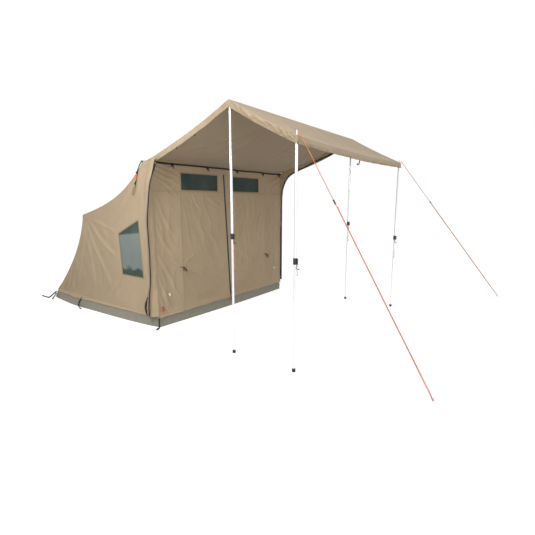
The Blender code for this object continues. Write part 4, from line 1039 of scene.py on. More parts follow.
def makeAwning():
    cells, drop = 146, 16
    s = stations((-1 - drop / cells, -1, drop), (-1, 1, cells), (1, 1 + drop / cells, drop))
    rearY, flatY = tentBody["seam"][0] - tentBody["gap"], awning["flatY"]
    ridgeY, eaveY = awning["ridge"][0], awning["eave"][0]
    rows = stations((rearY, flatY, 8), (flatY, ridgeY, 104), (ridgeY, eaveY, 104))
    rows = np.concatenate([rows, eaveY - np.arange(1, drop + 1) / drop])
    turn, y = grid(s[::-1], rows)  # the side valances are beyond 1 and -1, the front one beyond the eave
    over = np.clip(eaveY - y, 0, 1)
    y = np.maximum(y, eaveY)
    half = awningHalfAt(y)
    beside = np.clip((np.abs(turn) - 1) * cells / drop, 0, 1)
    x = half * np.clip(turn, -1, 1)
    z, fold = awningHeight(x, y)
    down = np.maximum(over, beside)
    run = np.where(beside > 0, y, x)
    hangs = down * awning["valance"]
    wave = awning["valanceSway"] * waves(run + 0.35 * hangs, 0 * run, 111, 0.15)
    ripple = np.where(beside > 0, *awning["valanceRipple"])
    wave = wave + ripple * sharpWaves(run + 1.3 * hangs, hangs, 112, 0.10)
    pulled = ridges(-y, -hangs, valanceCreases) * (beside > 0) * ramp(down, 0.0, 0.25)
    out = awning["flare"] * down + down * (wave + 0.002) * np.sin(np.pi * down * 0.8) + pulled
    side = np.sign(turn)
    x = x + side * np.where(beside > 0, out, 0)
    corner = np.clip((np.abs(np.clip(turn, -1, 1)) - 0.985) / 0.015, 0, 1)
    x = x + side * np.where((over > 0) & (beside <= 0), corner * awning["flare"] * over, 0)
    y = y - np.where(over > 0, out, 0)
    y = y - np.where((beside > 0) & (over <= 0), ramp(-y, 1.93, 1.975) * awning["flare"] * beside, 0)
    z = z - awning["valance"] * down
    points = spots(x, y, z)
    turn, over = centred(turn), centred(over)
    rowY = (rows[:-1] + rows[1:])[None] / 2
    starts = np.where(turn < 0, awning["valanceBack"], flatY)  # the left one reaches over the corner flap
    keep = ~((np.abs(turn) > 1) & ((over > 0) | (rowY > starts)))
    fold = asFold(fold, awning["fold"]) * (1 - down) + asFold(pulled, awning["fold"]) * down
    made = clothGrid("awningCloth", points, awningCanvas, fold, 0.0024, keep)
    hems = [points[0, 8:-drop], points[-1, 5:-drop], points[drop:-drop, -1]]  # right, left and front
    return made, hems, points[drop + 1:-drop - 1, -6] - (0, 0.0016, 0)


# Left corner: the front wall is zipped round the leg, and the side wall's lip stands over the zip

cornerFlap = {
    "heights": (0.135, 0.25, 0.376, 0.574, 0.90, 1.304, 1.706, 1.85, 1.943),
    "zipBack": (0.096, 0.080, 0.050, 0.014, -0.004, -0.008, -0.066, -0.112, -0.158),
    "zipOut": (0.070, 0.086, 0.092, 0.084, 0.088, 0.098, 0.084, 0.060, 0.040),
    "lipBack": (0.225, 0.222, 0.210, 0.190, 0.185, 0.190, 0.140, 0.090, 0.060),
    "tape": 0.028, "coil": 0.0042, "parting": 0.40, "partingOut": 0.030, "underAwning": 0.034,
    "tail": ((-1.356, 0.128, 0.150), (-1.360, 0.122, 0.118), (-1.357, 0.112, 0.088), (-1.350, 0.103, 0.070)),
}


def flapLine(name, z):  # one of the flap's lines, read smoothly by height
    heights, values = cornerFlap["heights"], cornerFlap[name]
    low, here, high = (np.interp(z + step, heights, values) for step in (-0.07, 0, 0.07))
    return (here + (low + high) / 2) / 2


def makeCornerFlap():
    foot, head = cornerFlap["heights"][0], cornerFlap["heights"][-1]
    z, t = grid(np.linspace(foot, head, 150), np.linspace(0, 1, 22))
    back, out, lip = (flapLine(name, z) for name in ("zipBack", "zipOut", "lipBack"))
    ripple = 0.004 * waves(z, t * 0.1, 121, 0.24) * hump(t)
    x = -halfWidth + 0.004 - (out + 0.005) * t  # from the wall's face out to the zip, bowed a little forwards
    y = -0.0035 + back * t**1.15 - 0.006 * np.sin(np.pi * t) + ripple
    # the fold value follows the ripple, so the canvas paints highlight and shade along its waves
    inner = clothGrid("cornerWrap", spots(x, y, z), canvas, 0.5 + 8 * ripple, 0.0024, flip=True)
    ripple = 0.006 * waves(z, t * 0.2, 123, 0.30) * hump(t)
    bulge = np.sin(np.pi / 2 * (1 - t)) ** 1.25  # the lip leaves the side wall flat and stands out at the zip
    x = -halfWidth - 0.0012 - (out + 0.010) * bulge + ripple * 0.7
    y = between(back, lip, t) - 0.006
    toAwning = awningLine(y) - cornerFlap["underAwning"] - head
    z = z + toAwning * ramp((z - foot) / (head - foot), 0.90, 1.0)
    # the fold value follows the ripple, so the canvas paints highlight and shade along its waves
    outer = clothGrid("cornerLip", spots(x, y, z), canvas, 0.5 + 8 * ripple, 0.0028)
    ride(inner, "root", "canvas")
    ride(outer, "root", "canvas", "edge_zip_left")
    z = np.linspace(0.15, 1.93, 160)
    part = np.where(z < cornerFlap["parting"], np.sin(np.pi * (cornerFlap["parting"] - z) / 0.25 * 0.92), 0)
    part = np.clip(part, 0, 1)  # the zip's foot hangs open
    back, out = flapLine("zipBack", z), flapLine("zipOut", z)
    for number, side in enumerate((-1, 1)):
        gape = cornerFlap["partingOut"] * part * (1.0 if number else 0.35)
        middle = side * cornerFlap["tape"] * 0.30
        run = spots(-halfWidth - out - 0.004 - gape * 0.4, back - 0.004 + side * gape + middle, z)
        across, shift = (-0.35, 0.94 * side, 0.0), (-0.0035, -0.0035, 0)
        zipHalf("cornerZip", f"_{number}", run, across, cornerFlap["tape"], 0.0006, shift, cornerFlap["coil"])
    tail = smoothRoute(cornerFlap["tail"], 20)
    ride(ribbon("cornerZipTail", tail, (0.4, 0.9, 0), 0.022, 0.002, tanTape, 0.001), "root", "canvas")


# Right edge: a heavy double zip down the corner and along the awning's hem

rightZip = {
    "route": [
        (1.330, -0.940, 2.250), (1.331, -0.724, 2.183), (1.331, -0.509, 2.102), (1.328, -0.300, 2.020),
        (1.322, -0.166, 1.950), (1.315, -0.090, 1.870), (1.308, -0.035, 1.745), (1.305, -0.014, 1.600),
        (1.304, -0.010, 1.300), (1.304, -0.010, 0.800), (1.303, -0.011, 0.400), (1.302, -0.012, 0.170),
    ],
    "band": 0.034, "coil": 0.0045,
    "wingCells": (128, 12), "wingAt": 1.297, "zipAt": 1.304, "underAwning": 0.008,
}


def makeRightZip():
    path = smoothRoute(rightZip["route"], 180)
    across = np.cross(headings(path), (-1.0, 0.0, 0.0))
    for number, off in enumerate((-1, 1)):
        run = path + across * off * rightZip["band"] * 0.27
        nodes = () if number else ("edge_zip_right",)
        width, shift = rightZip["band"] * 0.5, (-0.003, 0, 0)
        zipHalf("edgeZip", f"_{number}", run, across, width, 0.0006, shift, rightZip["coil"], *nodes)


def makeEdgeWing():  # the wall's wing, between the zip, the awning and the front corner
    rows, columns = rightZip["wingCells"]
    line = smoothRoute(rightZip["route"], 180)[:rows]
    t = np.linspace(0, 1, columns)[None, :, None]
    high = np.clip(awningLine(line[:, 1]) - rightZip["underAwning"], 0, 2.40)
    along = np.linspace(0, 1, rows)
    back = np.minimum(line[:, 1] * (1 - ramp(along, 0.35, 0.75)), -0.003)
    up = between(high, line[:, 2], ramp(along, 0.55, 1.0))
    inner = spots(rightZip["wingAt"] + (line[:, 0] - rightZip["zipAt"]) * 0.5, back + 0.005, up)
    points = between(line[:, None], inner[:, None], t)
    ripple = 0.006 * waves(along[:, None] + 0 * t[..., 0], t[..., 0] * 0.3, 151, 0.3) * hump(t[..., 0])
    points[..., 0] += ripple
    # the fold value follows the ripple, so the canvas paints highlight and shade along its waves
    ride(clothGrid("edgeWing", points, canvas, 0.5 + 20 * ripple), "root", "canvas")


# Head of the front wall: a zip under the awning, with loops and clips that hang from it

frontHead = {
    "zipHigh": 1.962, "clips": (-1.006, -0.422, 0.166, 0.775, 1.215), "clipHigh": 1.936,
    "loop": ((-0.020, -0.008, 0.030), (-0.012, -0.014, 0.006), (0.0, -0.017, -0.004), (0.012, -0.014, 0.006),
             (0.020, -0.008, 0.030)),
    "hook": ((0.004, -0.022, -0.008), (0.008, -0.025, -0.022), (0.016, -0.024, -0.028),
             (0.022, -0.020, -0.018)),
}


def makeFrontHead():
    x = np.linspace(-1.292, 1.292, 220)
    path = spots(x, -0.006, frontHead["zipHigh"] + 0.004 * waves(x, 0 * x, 161, 0.5))
    zipHalf("headZip", "", path, (0, 0, 1), 0.022, -0.0006, (0, -0.003, 0), 0.0038)
    pieces = []
    for number, x in enumerate(frontHead["clips"]):
        z = frontHead["clipHigh"]
        at = x, 0.0, z
        loop = routeFrom(at, frontHead["loop"], 26)
        pieces.append(ribbon(f"clipLoop_{number}", loop, (0.05, -0.6, 0.5), 0.012, 0.0016, blackTape))
        t = np.linspace(0, 1, 13)
        bead = spots(x + 0.006 * t, -0.022, z + 0.014 - 0.026 * t)
        girth = 0.0115 * np.sqrt(np.maximum(1 - (2 * t - 1) ** 4, 0.06))
        pieces.append(tubeAlong(f"clipBead_{number}", bead, girth, blackPlastic, 14))
        hook = routeFrom(at, frontHead["hook"], 20)
        pieces.append(tubeAlong(f"clipHook_{number}", hook, 0.0034, blackPlastic, 10))
    for piece in pieces:
        ride(piece, "root", "plastic")


# Tub: walls round the foot with pleats and crinkles, and a floor

tub = {
    "rear": 2.66, "rearTop": 2.575, "corner": 0.035, "high": 0.1203, "half": 1.300, "floorThick": 0.0022,
    "bulgeAt": (0.0, 0.25, 0.60, 1.00, 1.43, 1.71, 2.01, 2.43, 2.60, 2.66),
    "bulge": (0.0, 0.035, 0.066, 0.088, 0.106, 0.124, 0.118, 0.076, 0.034, 0.0), "frontBulge": 0.030,
    "eased": (-0.12, -0.06, 0.0, 0.06, 0.12), "inside": 0.0015, "wallThick": 0.0024, "cells": 700,
    "crumple": 0.0035, "sway": 0.003, "pleat": 0.004, "slack": 0.009, "slackAt": (1.22, 0.20),
}


def sideSwell(y):  # how far the tub's foot stands outside the side wall
    near = [np.interp(y + step, tub["bulgeAt"], tub["bulge"]) for step in tub["eased"]]
    return sum(near) / len(near) * ramp(y, 0.0, 0.15) * ramp(tub["rear"] - y, 0.0, 0.12)


def tubOutline():  # the foot line walked once round, with rounded corners
    half, front, rear = tub["half"] - tub["inside"], tub["inside"], tub["rear"] - tub["inside"]
    corners = np.array([(-half, rear), (-half, front), (half, front), (half, rear)])
    t = np.linspace(0, 1, 12)[:, None]
    points = []
    for before, corner, after in zip(np.roll(corners, 1, 0), corners, np.roll(corners, -1, 0)):
        a = corner + (before - corner) / np.linalg.norm(before - corner) * tub["corner"]
        b = corner + (after - corner) / np.linalg.norm(after - corner) * tub["corner"]
        points.append(a * (1 - t) ** 2 + 2 * corner * t * (1 - t) + b * t**2)
    points = np.concatenate(points + [points[0][:1]])
    far = walked(points)
    even = np.linspace(0, far[-1], tub["cells"])
    return np.stack([np.interp(even, far, points[:, k]) for k in (0, 1)], -1), even


def makeTub():
    line, far = tubOutline()
    s, share = grid(far, np.linspace(0, 1, 15))
    z = between(tub["floorThick"], tub["high"], share)
    heading = headings(line)
    outward = np.stack([-heading[:, 1], heading[:, 0]], -1)
    outward = outward * np.sign((outward * (line - (0, tub["rear"] / 2))).sum(1))[:, None]
    crumple = tub["crumple"] * sharpWaves(s, share * 0.12, 131, 0.11, (1.0, 0.7))
    crumple = crumple + tub["sway"] * waves(s, share * 0.12, 132, 0.25)
    slackX, slackReach = tub["slackAt"]  # slack at the front right corner
    loose = np.exp(-(np.hypot(line[:, 0] - slackX, line[:, 1]) / slackReach) ** 2)[:, None]
    crumple = crumple + tub["slack"] * loose * sharpWaves(s, share * 0.02, 137, 0.07)
    pleat = tub["pleat"] * sharpWaves(s, share * 0.02, 133, 0.16)
    out = (crumple + pleat) * hump(share * 0.9 + 0.05) - 0.002 * share
    lean = (tub["rearTop"] - tub["rear"]) * ramp(line[:, 1], tub["rear"] - 0.25, tub["rear"])[:, None] * share
    beside = sideSwell(line[:, 1]) * (np.abs(line[:, 0]) > tub["half"] - 0.03)
    ahead = np.sqrt(humpAcross(line[:, 0] / tub["half"])) * (line[:, 1] < 0.03)
    swell = (beside + tub["frontBulge"] * ahead)[:, None]  # the foot stands outside the wall
    out = out + swell * (1 - share) ** 0.8
    x = line[:, :1] + outward[:, :1] * out
    y = line[:, 1:] + outward[:, 1:] * out + lean
    walls = clothGrid("tubWalls", pulledOut(spots(x, y, z)), skirt, 0.5 + 0 * x, tub["wallThick"])
    s, y = grid(np.linspace(-1, 1, 60), np.linspace(-0.003, tub["rear"] - 0.006, 60))
    x = s * (tub["half"] - 0.006 + sideSwell(y))
    y = y - tub["frontBulge"] * np.sqrt(humpAcross(s)) * ramp(y, 0.2, 0.0)
    lift = 0.0015 + 0.001 * (1 + waves(x, y, 135, 0.5)) * humpAcross(s) * hump(y / tub["rear"])
    floor = pulledOut(spots(x, y, tub["floorThick"] + lift))
    return walls, clothGrid("tubFloor", floor, skirt, 0.5 + 0 * x, netThick)


# Hem: the canvas laps over the tub, less at the front than at the back

hem = {
    "front": 0.119, "side": (0.119, 0.105, 0.094, 0.088, 0.094), "sideAt": (0.0, 1.05, 1.60, 1.95, 2.40),
    "sideTop": 0.132, "frontTop": 0.134, "out": 0.0050, "thick": 0.0020, "off": 0.0012, "ripple": 0.004,
}


def makeSideHem(word, side):
    y, t = grid(np.linspace(0.02, 2.545, 190), np.linspace(0, 1, 8))
    low = np.interp(y, hem["sideAt"], hem["side"]) + hem["ripple"] * waves(y, 0 * y, 141, 0.35)
    flare = hem["ripple"] * t * (1 + waves(y, 0 * y, 143, 0.16))
    z = between(hem["sideTop"], low, t)
    over = sideSwell(y) * np.clip(1 - z / tub["high"], 0, 1) ** 0.8
    x = side * (halfWidth + hem["off"] + hem["out"] * np.sin(np.pi / 2 * t) + flare + over)
    points = pulledOut(spots(x, y, z))
    # the fold value falls from 0.5 to 0.3 down the hem, so the canvas is darker towards its lower edge
    return clothGrid(f"sideHem_{word}", points, canvas, 0.5 - 0.2 * t, hem["thick"], flip=side > 0)


def makeFrontHem(name, first, last):
    x, t = grid(np.linspace(first, last, int(80 * (last - first))), np.linspace(0, 1, 8))
    low = hem["front"] + hem["ripple"] * waves(x, 0 * x, 145, 0.30)
    fromHinge = np.minimum(np.abs(x - frontWall["doorLeft"]), np.abs(x - frontWall["doorRight"]))
    flare = hem["out"] * np.sin(np.pi / 2 * t) + hem["ripple"] * t * (1 + waves(x, 0 * x, 147, 0.14))
    y = -hem["off"] - flare * ramp(fromHinge, 0.004, 0.045)  # flat at the hinges, so the hems swing clear
    points = spots(x, y, between(hem["frontTop"], low, t))
    # the fold value falls from 0.5 to 0.3 down the hem, so the canvas is darker towards its lower edge
    return clothGrid(name, points, canvas, 0.5 - 0.2 * t, hem["thick"])


def foldsBack(made, slotName, *nodes):  # the piece's place is baked into its mesh, and the CAD nodes it replaces are hidden
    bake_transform(made)
    return dress(made, slotName, *nodes)


def cutSheet(made, held, on, *goesWith, area=None):
    width, length, measured = cutSizes[made.name]
    width, length = round(float(width) + 0.005, 2), round(float(length) + 0.005, 2)
    measured = round(float(area or measured), 3)
    min(measured, width * length)
    print("sheet", made.name, "cut from", width, "x", length, "m,", measured, "m2")


# Seams and welts

seams = {
    "welt": 0.0042, "lap": 0.013, "thick": 0.0014, "panel": 0.43, "rearOut": 0.0012,
    "frontOut": 0.0030, "underWindow": 0.016,
}


def makeBodySeams():
    pieces = []
    edge = readLine(np.concatenate([roofOutline, rearOutline[1:]]), np.linspace(0.012, 0.985, 260))
    for word, side in sides:
        path = spots(side * (halfWidth - 0.001), edge[:, 0], edge[:, 1] + 0.001)
        pieces.append(tubeAlong(f"bodyWelt_{word}", pulledOut(path), seams["welt"], canvas, 8))
    for number, share in enumerate((0.0, 1.0)):
        y, z = readLine(roofOutline, np.array([share]))[0]
        x = np.linspace(-halfWidth + 0.004, halfWidth - 0.004, 120)
        path = spots(x, y, z + (0.002 if number else 0.003))
        pieces.append(tubeAlong(f"roofWelt_{number}", path, seams["welt"], canvas, 8))
    return pieces


def makeRearSeams():  # two flat seams where the rear wall's widths join
    points = rearPoints((-seams["panel"], seams["panel"]), np.linspace(0.02, 0.995, 140), seams["rearOut"])[0]
    return [
        ribbon(f"rearSeam_{number}", path, (1, 0, 0), seams["lap"], seams["thick"], canvas)
        for number, path in enumerate(points)
    ]


frontRuns = {  # pieces across the front, cut at the doors' hinges and zip: (from, to, body)
    "crossSeam": ((-1.292, -0.892, "root"), (-0.880, -0.118, "door_left_body"),
                  (-0.072, 0.872, "door_right_body"), (0.884, 1.292, "root")),
    "frontHem": ((-1.29, -0.892, "root"), (-0.880, -0.016, "door_left_body"),
                 (-0.012, 0.872, "door_right_body"), (0.884, 1.29, "root")),
}


def frontSeam(name, first, last):  # a flat seam across the front, below the windows
    x = np.linspace(first, last, 90)
    path = spots(x, -seams["frontOut"], frontWall["windowLow"] - seams["underWindow"])
    return ribbon(name, path, (0, 0, 1), seams["lap"], seams["thick"], canvas, -0.0006)


def acrossFront(kind, make):
    return [
        ride(make(f"{kind}_{number}", first, last), body, "canvas")
        for number, (first, last, body) in enumerate(frontRuns[kind])
    ]


acrossFront("crossSeam", frontSeam)
for piece in makeBodySeams() + makeRearSeams():
    foldsBack(piece, "canvas")


roofPiece = foldsBack(makeRoof(), "canvas", "roof")
cutSheet(roofPiece, "stretched", ["front_top_bar", "rear_top_bar"])
rearPiece = foldsBack(makeRearWall(), "canvas", "rear_wall")
cutSheet(rearPiece, "stretched", ["rear_top_bar", "groundsheet"])
for word, side in sides:
    wall = foldsBack(makeSideWall(word, side), "canvas", f"side_wall_{word}")
    net, binding = makeSideWindow(word, side)
    ride(net, "root", "mesh", f"side_mesh_{word}")
    sideHem = ride(makeSideHem(word, side), "root", "canvas")
    window = (sideWindow["frontHigh"] + sideWindow["rearHigh"]) / 2 - sideWindow["low"]
    window *= sum(sideWindow["rear"]) / 2 - sum(sideWindow["front"]) / 2
    cutSheet(wall, "stretched", [roofPiece, "groundsheet"], sideHem, area=cutSizes[wall.name][2] - window)
    cutSheet(net, "stretched", [wall], *binding)
frontPiece = ride(makeFrontWall(), "root", "canvas", "front_wall")
frontHems = acrossFront("frontHem", makeFrontHem)
cutSheet(frontPiece, "hung", ["front_top_bar"], frontHems[0], frontHems[3])
for word, side in sides:
    body = f"door_{word}_body"
    door, net, tapes = makeDoor(word, side)
    ride(door, body, "canvas", f"door_{word}")
    ride(net, body, "mesh", f"door_mesh_{word}")
    for tape in tapes:
        ride(tape, body, "canvas")
    cutSheet(door, "hung", [frontPiece], *tapes, frontHems[1 if side < 0 else 2])
    cutSheet(net, "stretched", [door])
awningSheet, awningHems, eaveTurn = makeAwning()
awningPiece = ride(awningSheet, "root", "awning_canvas", "awning")
for number, edge in enumerate(awningHems):
    ride(tubeAlong(f"awningHem_{number}", edge, 0.0034, awningCanvas, 8), "root", "awning_canvas")
ride(ribbon("eaveHem", eaveTurn, (0, 0, 1), 0.020, 0.0022, awningCanvas, -0.0008), "root", "awning_canvas")
cutSheet(awningPiece, "stretched", ["ridge_bar", "pole_upper_front_left", "pole_upper_front_right"])
makeCornerFlap()
makeRightZip()
makeEdgeWing()
makeFrontHead()
tubWalls, tubFloor = makeTub()
ride(tubWalls, "root", "pvc", "groundsheet")
ride(tubFloor, "root", "pvc")
cutSheet(tubFloor, "laid", ["groundsheet"])
cutSheet(tubWalls, "hung", [tubFloor])
print("cloth made")


# Small fittings: shoulder straps, hooks, toggles, tabs and pulls

fittings = {
    "hemHooks": ((-1.341, -0.785, 2.192), (-1.341, -0.509, 2.088)),
    "zipHooks": ((1.326, -0.640, 2.148), (1.322, -0.345, 2.036)),
    "toggles": ((-0.886, 0.669), (0.878, 0.646)), "tabs": ((-1.133, 0.383), (1.087, 0.405)),
    "pulls": ((-1.242, 0.216, 0.0), (-0.020, 0.095, -0.012)), "eaveHook": (-0.103, -1.983, 1.975),
}
fittingSteps = {  # routes of tapes and hooks, measured from the fitting's place
    "eaveTab": ((0.006, 0.002, 0.010), (0.0, -0.004, -0.012), (-0.014, -0.008, -0.034)),
    "eaveHook": ((-0.012, -0.010, -0.026), (-0.022, -0.011, -0.048), (-0.040, -0.011, -0.068),
                 (-0.062, -0.010, -0.072), (-0.070, -0.009, -0.060)),
    "toggleTie": ((-0.058, -0.004, 0.028), (-0.044, -0.012, 0.032), (-0.020, -0.022, 0.026),
                  (0.004, -0.026, 0.006), (-0.006, -0.018, -0.012), (-0.016, -0.006, -0.020)),
    "toggleLoop": ((0.004, -0.006, 0.026), (0.024, -0.018, 0.012), (0.036, -0.020, -0.008),
                   (0.044, -0.014, -0.028), (0.050, -0.005, -0.042)),
    "tab": ((0.0, -0.006, 0.020), (0.002, -0.015, 0.002), (0.004, -0.018, -0.016)),
    "pull": ((0.0, -0.010, 0.024), (0.006, -0.018, 0.006), (0.004, -0.016, -0.014), (-0.004, -0.012, -0.030)),
}


shoulderLegs = [  # (name, width, material, slot, (back, up) points)
    ("upper", 0.015, blackTape, "plastic",
     [(0.142, 1.984), (0.172, 1.962), (0.205, 1.926), (0.236, 1.888), (0.256, 1.862)]),
    ("pull", 0.022, orangeTape, "orange", [(0.258, 1.848), (0.266, 1.822), (0.275, 1.795), (0.284, 1.766)]),
    ("lower", 0.016, blackTape, "plastic", [(0.286, 1.762), (0.296, 1.744), (0.306, 1.728), (0.313, 1.712)]),
    ("loopFront", 0.010, tanTape, "canvas",
     [(0.313, 1.713), (0.318, 1.680), (0.334, 1.645), (0.360, 1.612), (0.383, 1.597)]),
    ("loopRear", 0.010, tanTape, "canvas",
     [(0.313, 1.713), (0.338, 1.690), (0.366, 1.655), (0.384, 1.622), (0.384, 1.597)]),
]


def makeShoulderStrap(word, side):
    face = side * (halfWidth + 0.006)
    for name, width, material, slotName, line in shoulderLegs:
        path = smoothRoute([(face, y, z) for y, z in line], 26)
        path[:, 0] += side * 0.004 * np.sin(np.pi * np.linspace(0, 1, 26))
        across = np.cross(np.gradient(path, axis=0), (side, 0, 0))
        strap = ribbon(f"shoulder_{name}_{word}", path, across, width, tapeThick, material, 0.0008)
        ride(strap, "root", slotName)
    t = np.linspace(0, 1, 17)
    girth = 0.0155 * np.sqrt(np.maximum(1 - (2 * t - 1) ** 2, 0.02))
    bead = tubeAlong(f"shoulder_bead_{word}", spots(face, 0.258, 1.868 - 0.030 * t), girth, blackPlastic, 18)
    ride(bead, "root", "plastic")
    ring = circle((face + side * 0.003, 0.312, 1.728), (0, 0.011, 0), (0, 0, 0.0077), 33)
    ride(tubeAlong(f"shoulder_ring_{word}", ring, 0.0022, blackPlastic, 8), "root", "plastic")


def hookShape(x, y, z, lean, size):  # a moulded hook: straight shank, then a turn back up
    t = np.linspace(0, 1, 26)
    turn = np.clip((t - 0.45) / 0.55, 0, 1) * np.pi * 1.05
    down = -np.minimum(t, 0.45) / 0.45 * size - 0.35 * size * np.sin(turn)
    out = 0.35 * size * (1 - np.cos(turn))
    return spots(x + lean[0] * out, y + lean[1] * out, z + down)


def makeHooks():
    for group, lean in (("hemHooks", (0.2, 1.0)), ("zipHooks", (-0.6, 0.8))):
        for number, (x, y, z) in enumerate(fittings[group]):
            shape = hookShape(x, y, z, lean, 0.022)
            ride(tubeAlong(f"{group}_{number}", shape, 0.0040, blackPlastic, 10), "root", "plastic")
            line = np.linspace((x, y, z + 0.022), (x, y, z - 0.004), 10)
            plate = ribbon(group + f"Tab_{number}", line, (0.0, 1.0, 0.3), 0.018, 0.002, blackTape)
            ride(plate, "root", "plastic")
    at = fittings["eaveHook"]
    line = routeFrom(at, fittingSteps["eaveTab"], 20)
    ride(ribbon("eaveTab", line, (0.9, 0, 0.35), 0.026, 0.0026, awningCanvas, 0.001), "root", "canvas")
    bend = routeFrom(at, fittingSteps["eaveHook"], 28)
    ride(tubeAlong("eaveHook", bend, 0.0056, blackPlastic, 10), "root", "plastic")


def bendsWithDoor(made):  # a tie that lies over a door's hinge
    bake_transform(made)
    dress(made, "canvas")


def makeFrontFittings():
    for number, (x, z) in enumerate(fittings["toggles"]):
        t = np.linspace(0, 1, 31)
        bar = spots(x - 0.026 + 0.074 * t, -0.016 - 0.006 * np.sin(np.pi * t), z + 0.034 - 0.070 * t)
        girth = 0.0052 + 0.0050 * (np.exp(-((t - 0.22) / 0.12) ** 2) + np.exp(-((t - 0.72) / 0.14) ** 2))
        girth = girth * np.sqrt(np.clip(1 - (2 * t - 1) ** 10, 0.1, 1))
        bendsWithDoor(tubeAlong(f"toggle_{number}", bar, girth, brownTape, 12))
        for name, radius in (("toggleTie", 0.0038), ("toggleLoop", 0.0036)):
            line = routeFrom((x, 0.0, z), fittingSteps[name], 34)
            bendsWithDoor(tubeAlong(f"{name}_{number}", line, radius, brownTape, 8))
    for number, (x, z) in enumerate(fittings["tabs"]):
        line = routeFrom((x, 0.0, z), fittingSteps["tab"], 16)
        tab = ribbon(f"whiteTab_{number}", line, (1, 0, 0.35), 0.026, 0.0016, whiteTape, 0.001)
        ride(tab, "root", "canvas")
    for number, (x, z, ahead) in enumerate(fittings["pulls"]):  # the door's pull hangs clear of the tub
        body = "door_right_body" if number else "root"
        line = routeFrom((x, ahead, z), fittingSteps["pull"], 24)
        tape = ribbon(f"orangePull_{number}", line, (1, 0, 0), 0.018, tapeThick, orangeTape, 0.001)
        ride(tape, body, "orange")
        ring = circle((x, ahead - 0.021, z - 0.004), (0.016, 0, 0), (0, -0.003, 0.022), 25)
        ride(tubeAlong(f"pullLoop_{number}", ring, 0.0034, orangeTape, 8), body, "orange")
        bead = np.linspace((x + 0.001, ahead - 0.013, z + 0.036), (x, ahead - 0.014, z + 0.020), 9)
        ride(tubeAlong(f"pullBead_{number}", bead, 0.0055, blackPlastic, 12), body, "plastic")


for word, side in sides:
    makeShoulderStrap(word, side)
makeHooks()
makeFrontFittings()


# Poles: a hook and a tension cord under each clamp

poleCord = {"radius": 0.0022, "sway": 0.006, "beside": 0.010}
poleSets = {  # name: (x, y, the clamp's foot, the cord's length)
    "ridge_left": (-1.322, -1.238, 1.160, 0.25), "ridge_right": (1.322, -1.238, 1.160, 0.20),
    "front_left": (-1.322, -1.957, 0.985, 0.06), "front_right": (1.322, -1.957, 0.985, 0.22),
}


def makePoleCords():
    for name, (x, y, low, length) in poleSets.items():
        side = math.copysign(1.0, x)
        x = x - side * poleCord["beside"]
        hook = hookShape(x, y - 0.013, low - 0.004, (0.0, -1.0), 0.030)
        ride(tubeAlong(f"poleHook_{name}", hook, 0.0035, blackPlastic, 10), "root", "plastic")
        sway = side * poleCord["sway"]
        steps = (0, 0, 0), (sway, -0.001, -length * 0.35), (-sway * 0.5, 0, -length * 0.7), (0, 0, -length)
        line = routeFrom((x, y - 0.0165, low - 0.034), steps, 40)
        cord = ride(tubeAlong(f"poleCord_{name}", line, poleCord["radius"], rope, 8), "root", "orange")
        knot = ride(knotAt(f"poleKnot_{name}", line[-1], (0.0, 0.1, -1.0), 0.0032, rope), "root", "orange")


makePoleCords()


# Peg straps: black webbing at the tub's corners and half way along its sides

pegStraps = {  # routes on the left, from the tub to the peg's ring; the front one has no twin
    "rear": [
        ((-1.314, 2.640, 0.078), (-1.360, 2.630, 0.052), (-1.420, 2.605, 0.024), (-1.460, 2.585, 0.013),
         (-1.469, 2.640, 0.0115), (-1.471, 2.720, 0.0115), (-1.472, 2.795, 0.0115)),
        ((-1.318, 2.655, 0.046), (-1.368, 2.590, 0.026), (-1.420, 2.520, 0.014), (-1.466, 2.455, 0.0115)),
    ],
    "side": [
        ((-1.332, 1.788, 0.106), (-1.352, 1.778, 0.090), (-1.388, 1.764, 0.058), (-1.423, 1.715, 0.022),
         (-1.447, 1.665, 0.013), (-1.464, 1.610, 0.0115), (-1.472, 1.565, 0.0115)),
    ],
    "front": [
        ((-1.304, -0.008, 0.118), (-1.316, -0.024, 0.070), (-1.330, -0.040, 0.024), (-1.346, -0.046, 0.0115),
         (-1.378, -0.052, 0.0115)),
    ],
}


def makePegStraps():
    for name, lines in pegStraps.items():
        mirrored = sides[:1] if name == "front" else sides
        for number, line in enumerate(lines):
            for word, side in mirrored:
                path = smoothRoute([(-side * x, y, z) for x, y, z in line], 40)
                strap = tubeAlong(f"{name}Strap_{number}_{word}", path, 0.0062, blackTape, 12, 1.7)
                ride(strap, "root", "plastic")
                x, y, z = path[-1]
                ring = circle((x - side * 0.004, y, 0.004), (0.010, 0, 0), (0, 0.010, 0), 25)
                ring = tubeAlong(f"{name}Ring_{number}_{word}", ring, 0.0028, blackPlastic, 8)
                ride(ring, "root", "plastic")


makePegStraps()
print("fittings made")


# CAD nodes that keep their shape take finishes here

nodeFinishes = {
    "pole_upper": poleTube, "pole_lower": poleTube, "ridge_bar": tubeMetal, "front_leg": tubeMetal,
    "rear_arm": tubeMetal, "front_top_bar": tubeMetal, "rear_top_bar": tubeMetal, "stay_": tubeMetal,
    "pole_clamp": blackPlastic, "clamp_lever": blackPlastic, "front_corner": blackPlastic,
    "rear_corner": blackPlastic, "foot_bracket": blackPlastic, "pole_foot": footRubber, "peg_": pegMetal,
    "door_zip": zipCoil, "door_zip_slider": orangeTape,
}


def finishNodes():
    for name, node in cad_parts.items():
        for start, material in nodeFinishes.items():
            if name.startswith(start):
                node.data.materials.clear()
                node.data.materials.append(material)


finishNodes()


# Stage: pale floor, white to the camera, and soft lamps

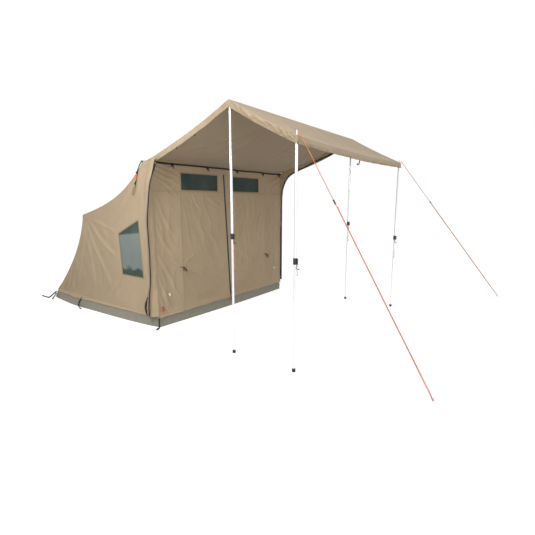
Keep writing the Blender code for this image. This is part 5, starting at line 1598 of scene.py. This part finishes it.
stage = {"floor": 0.46, "glow": 0.81, "sky": 0.40, "reach": 30.0, "sunk": 0.0006}
lamps = {  # name: (place, aim, size, watts)
    "keyLamp": ((-3.9, -0.8, 2.7), (-1.3, 0.2, 1.0), 1.5, 64.0),
    "topLamp": ((-1.0, -3.2, 6.0), (-0.4, -1.0, 1.6), 4.0, 77.0),
    "fillLamp": ((-3.6, -6.0, 2.4), (0.0, 0.0, 1.1), 3.2, 74.0),
    "lowLamp": ((2.6, -4.6, 0.5), (0.9, -1.3, 2.1), 1.6, 20.0),
}


def makeFloor():
    size = stage["reach"]
    mesh = bpy.data.meshes.new("floor")
    corners = [(-size, -size, 0), (size, -size, 0), (size, size, 0), (-size, size, 0)]
    mesh.from_pydata(corners, [], [(0, 1, 2, 3)])
    floor = newObject("floor", mesh)
    floor.location.z = -stage["sunk"]
    made = Finish("floorPaper", (stage["floor"],) * 3, 0.9)
    path = made.tree.nodes.new("ShaderNodeLightPath")
    seen = Socket(made, path.outputs["Is Camera Ray"]) + Socket(made, path.outputs["Is Glossy Ray"])
    seen = seen + Socket(made, path.outputs["Is Transmission Ray"])
    glow = made.node("Emission", None, {"Color": (1, 1, 1, 1), "Strength": seen * stage["glow"]})
    mixed = made.node("AddShader", None, {0: Socket(made, made.shader.outputs[0]), 1: glow})
    made.plug(made.tree.nodes["Material Output"].inputs["Surface"], mixed)
    mesh.materials.append(made.material)


def makeWorld():
    world = bpy.data.worlds.new("studio")
    world.use_nodes = True
    tree = world.node_tree
    back = tree.nodes["Background"]
    path = tree.nodes.new("ShaderNodeLightPath")
    add = tree.nodes.new("ShaderNodeMath")
    add.use_clamp = True
    tree.links.new(path.outputs["Is Camera Ray"], add.inputs[0])
    tree.links.new(path.outputs["Is Glossy Ray"], add.inputs[1])
    level = tree.nodes.new("ShaderNodeMapRange")
    level.inputs["To Min"].default_value = stage["sky"]
    level.inputs["To Max"].default_value = 1.0
    tree.links.new(add.outputs[0], level.inputs["Value"])
    tree.links.new(level.outputs[0], back.inputs["Strength"])
    back.inputs["Color"].default_value = (1.0, 1.0, 1.0, 1.0)
    bpy.context.scene.world = world


def makeLamp(name, place, aim, size, power):
    data = bpy.data.lights.new(name, "AREA")
    data.size = size
    data.energy = power
    made = newObject(name, data)
    made.location = place
    heading = np.array(aim) - np.array(place)
    made.rotation_euler = mathutils.Vector(heading).to_track_quat("-Z", "Y").to_euler()


makeFloor()
makeWorld()
for name, lamp in lamps.items():
    makeLamp(name, *lamp)
bpy.context.scene.view_settings.view_transform = "Standard"
print("stage set")
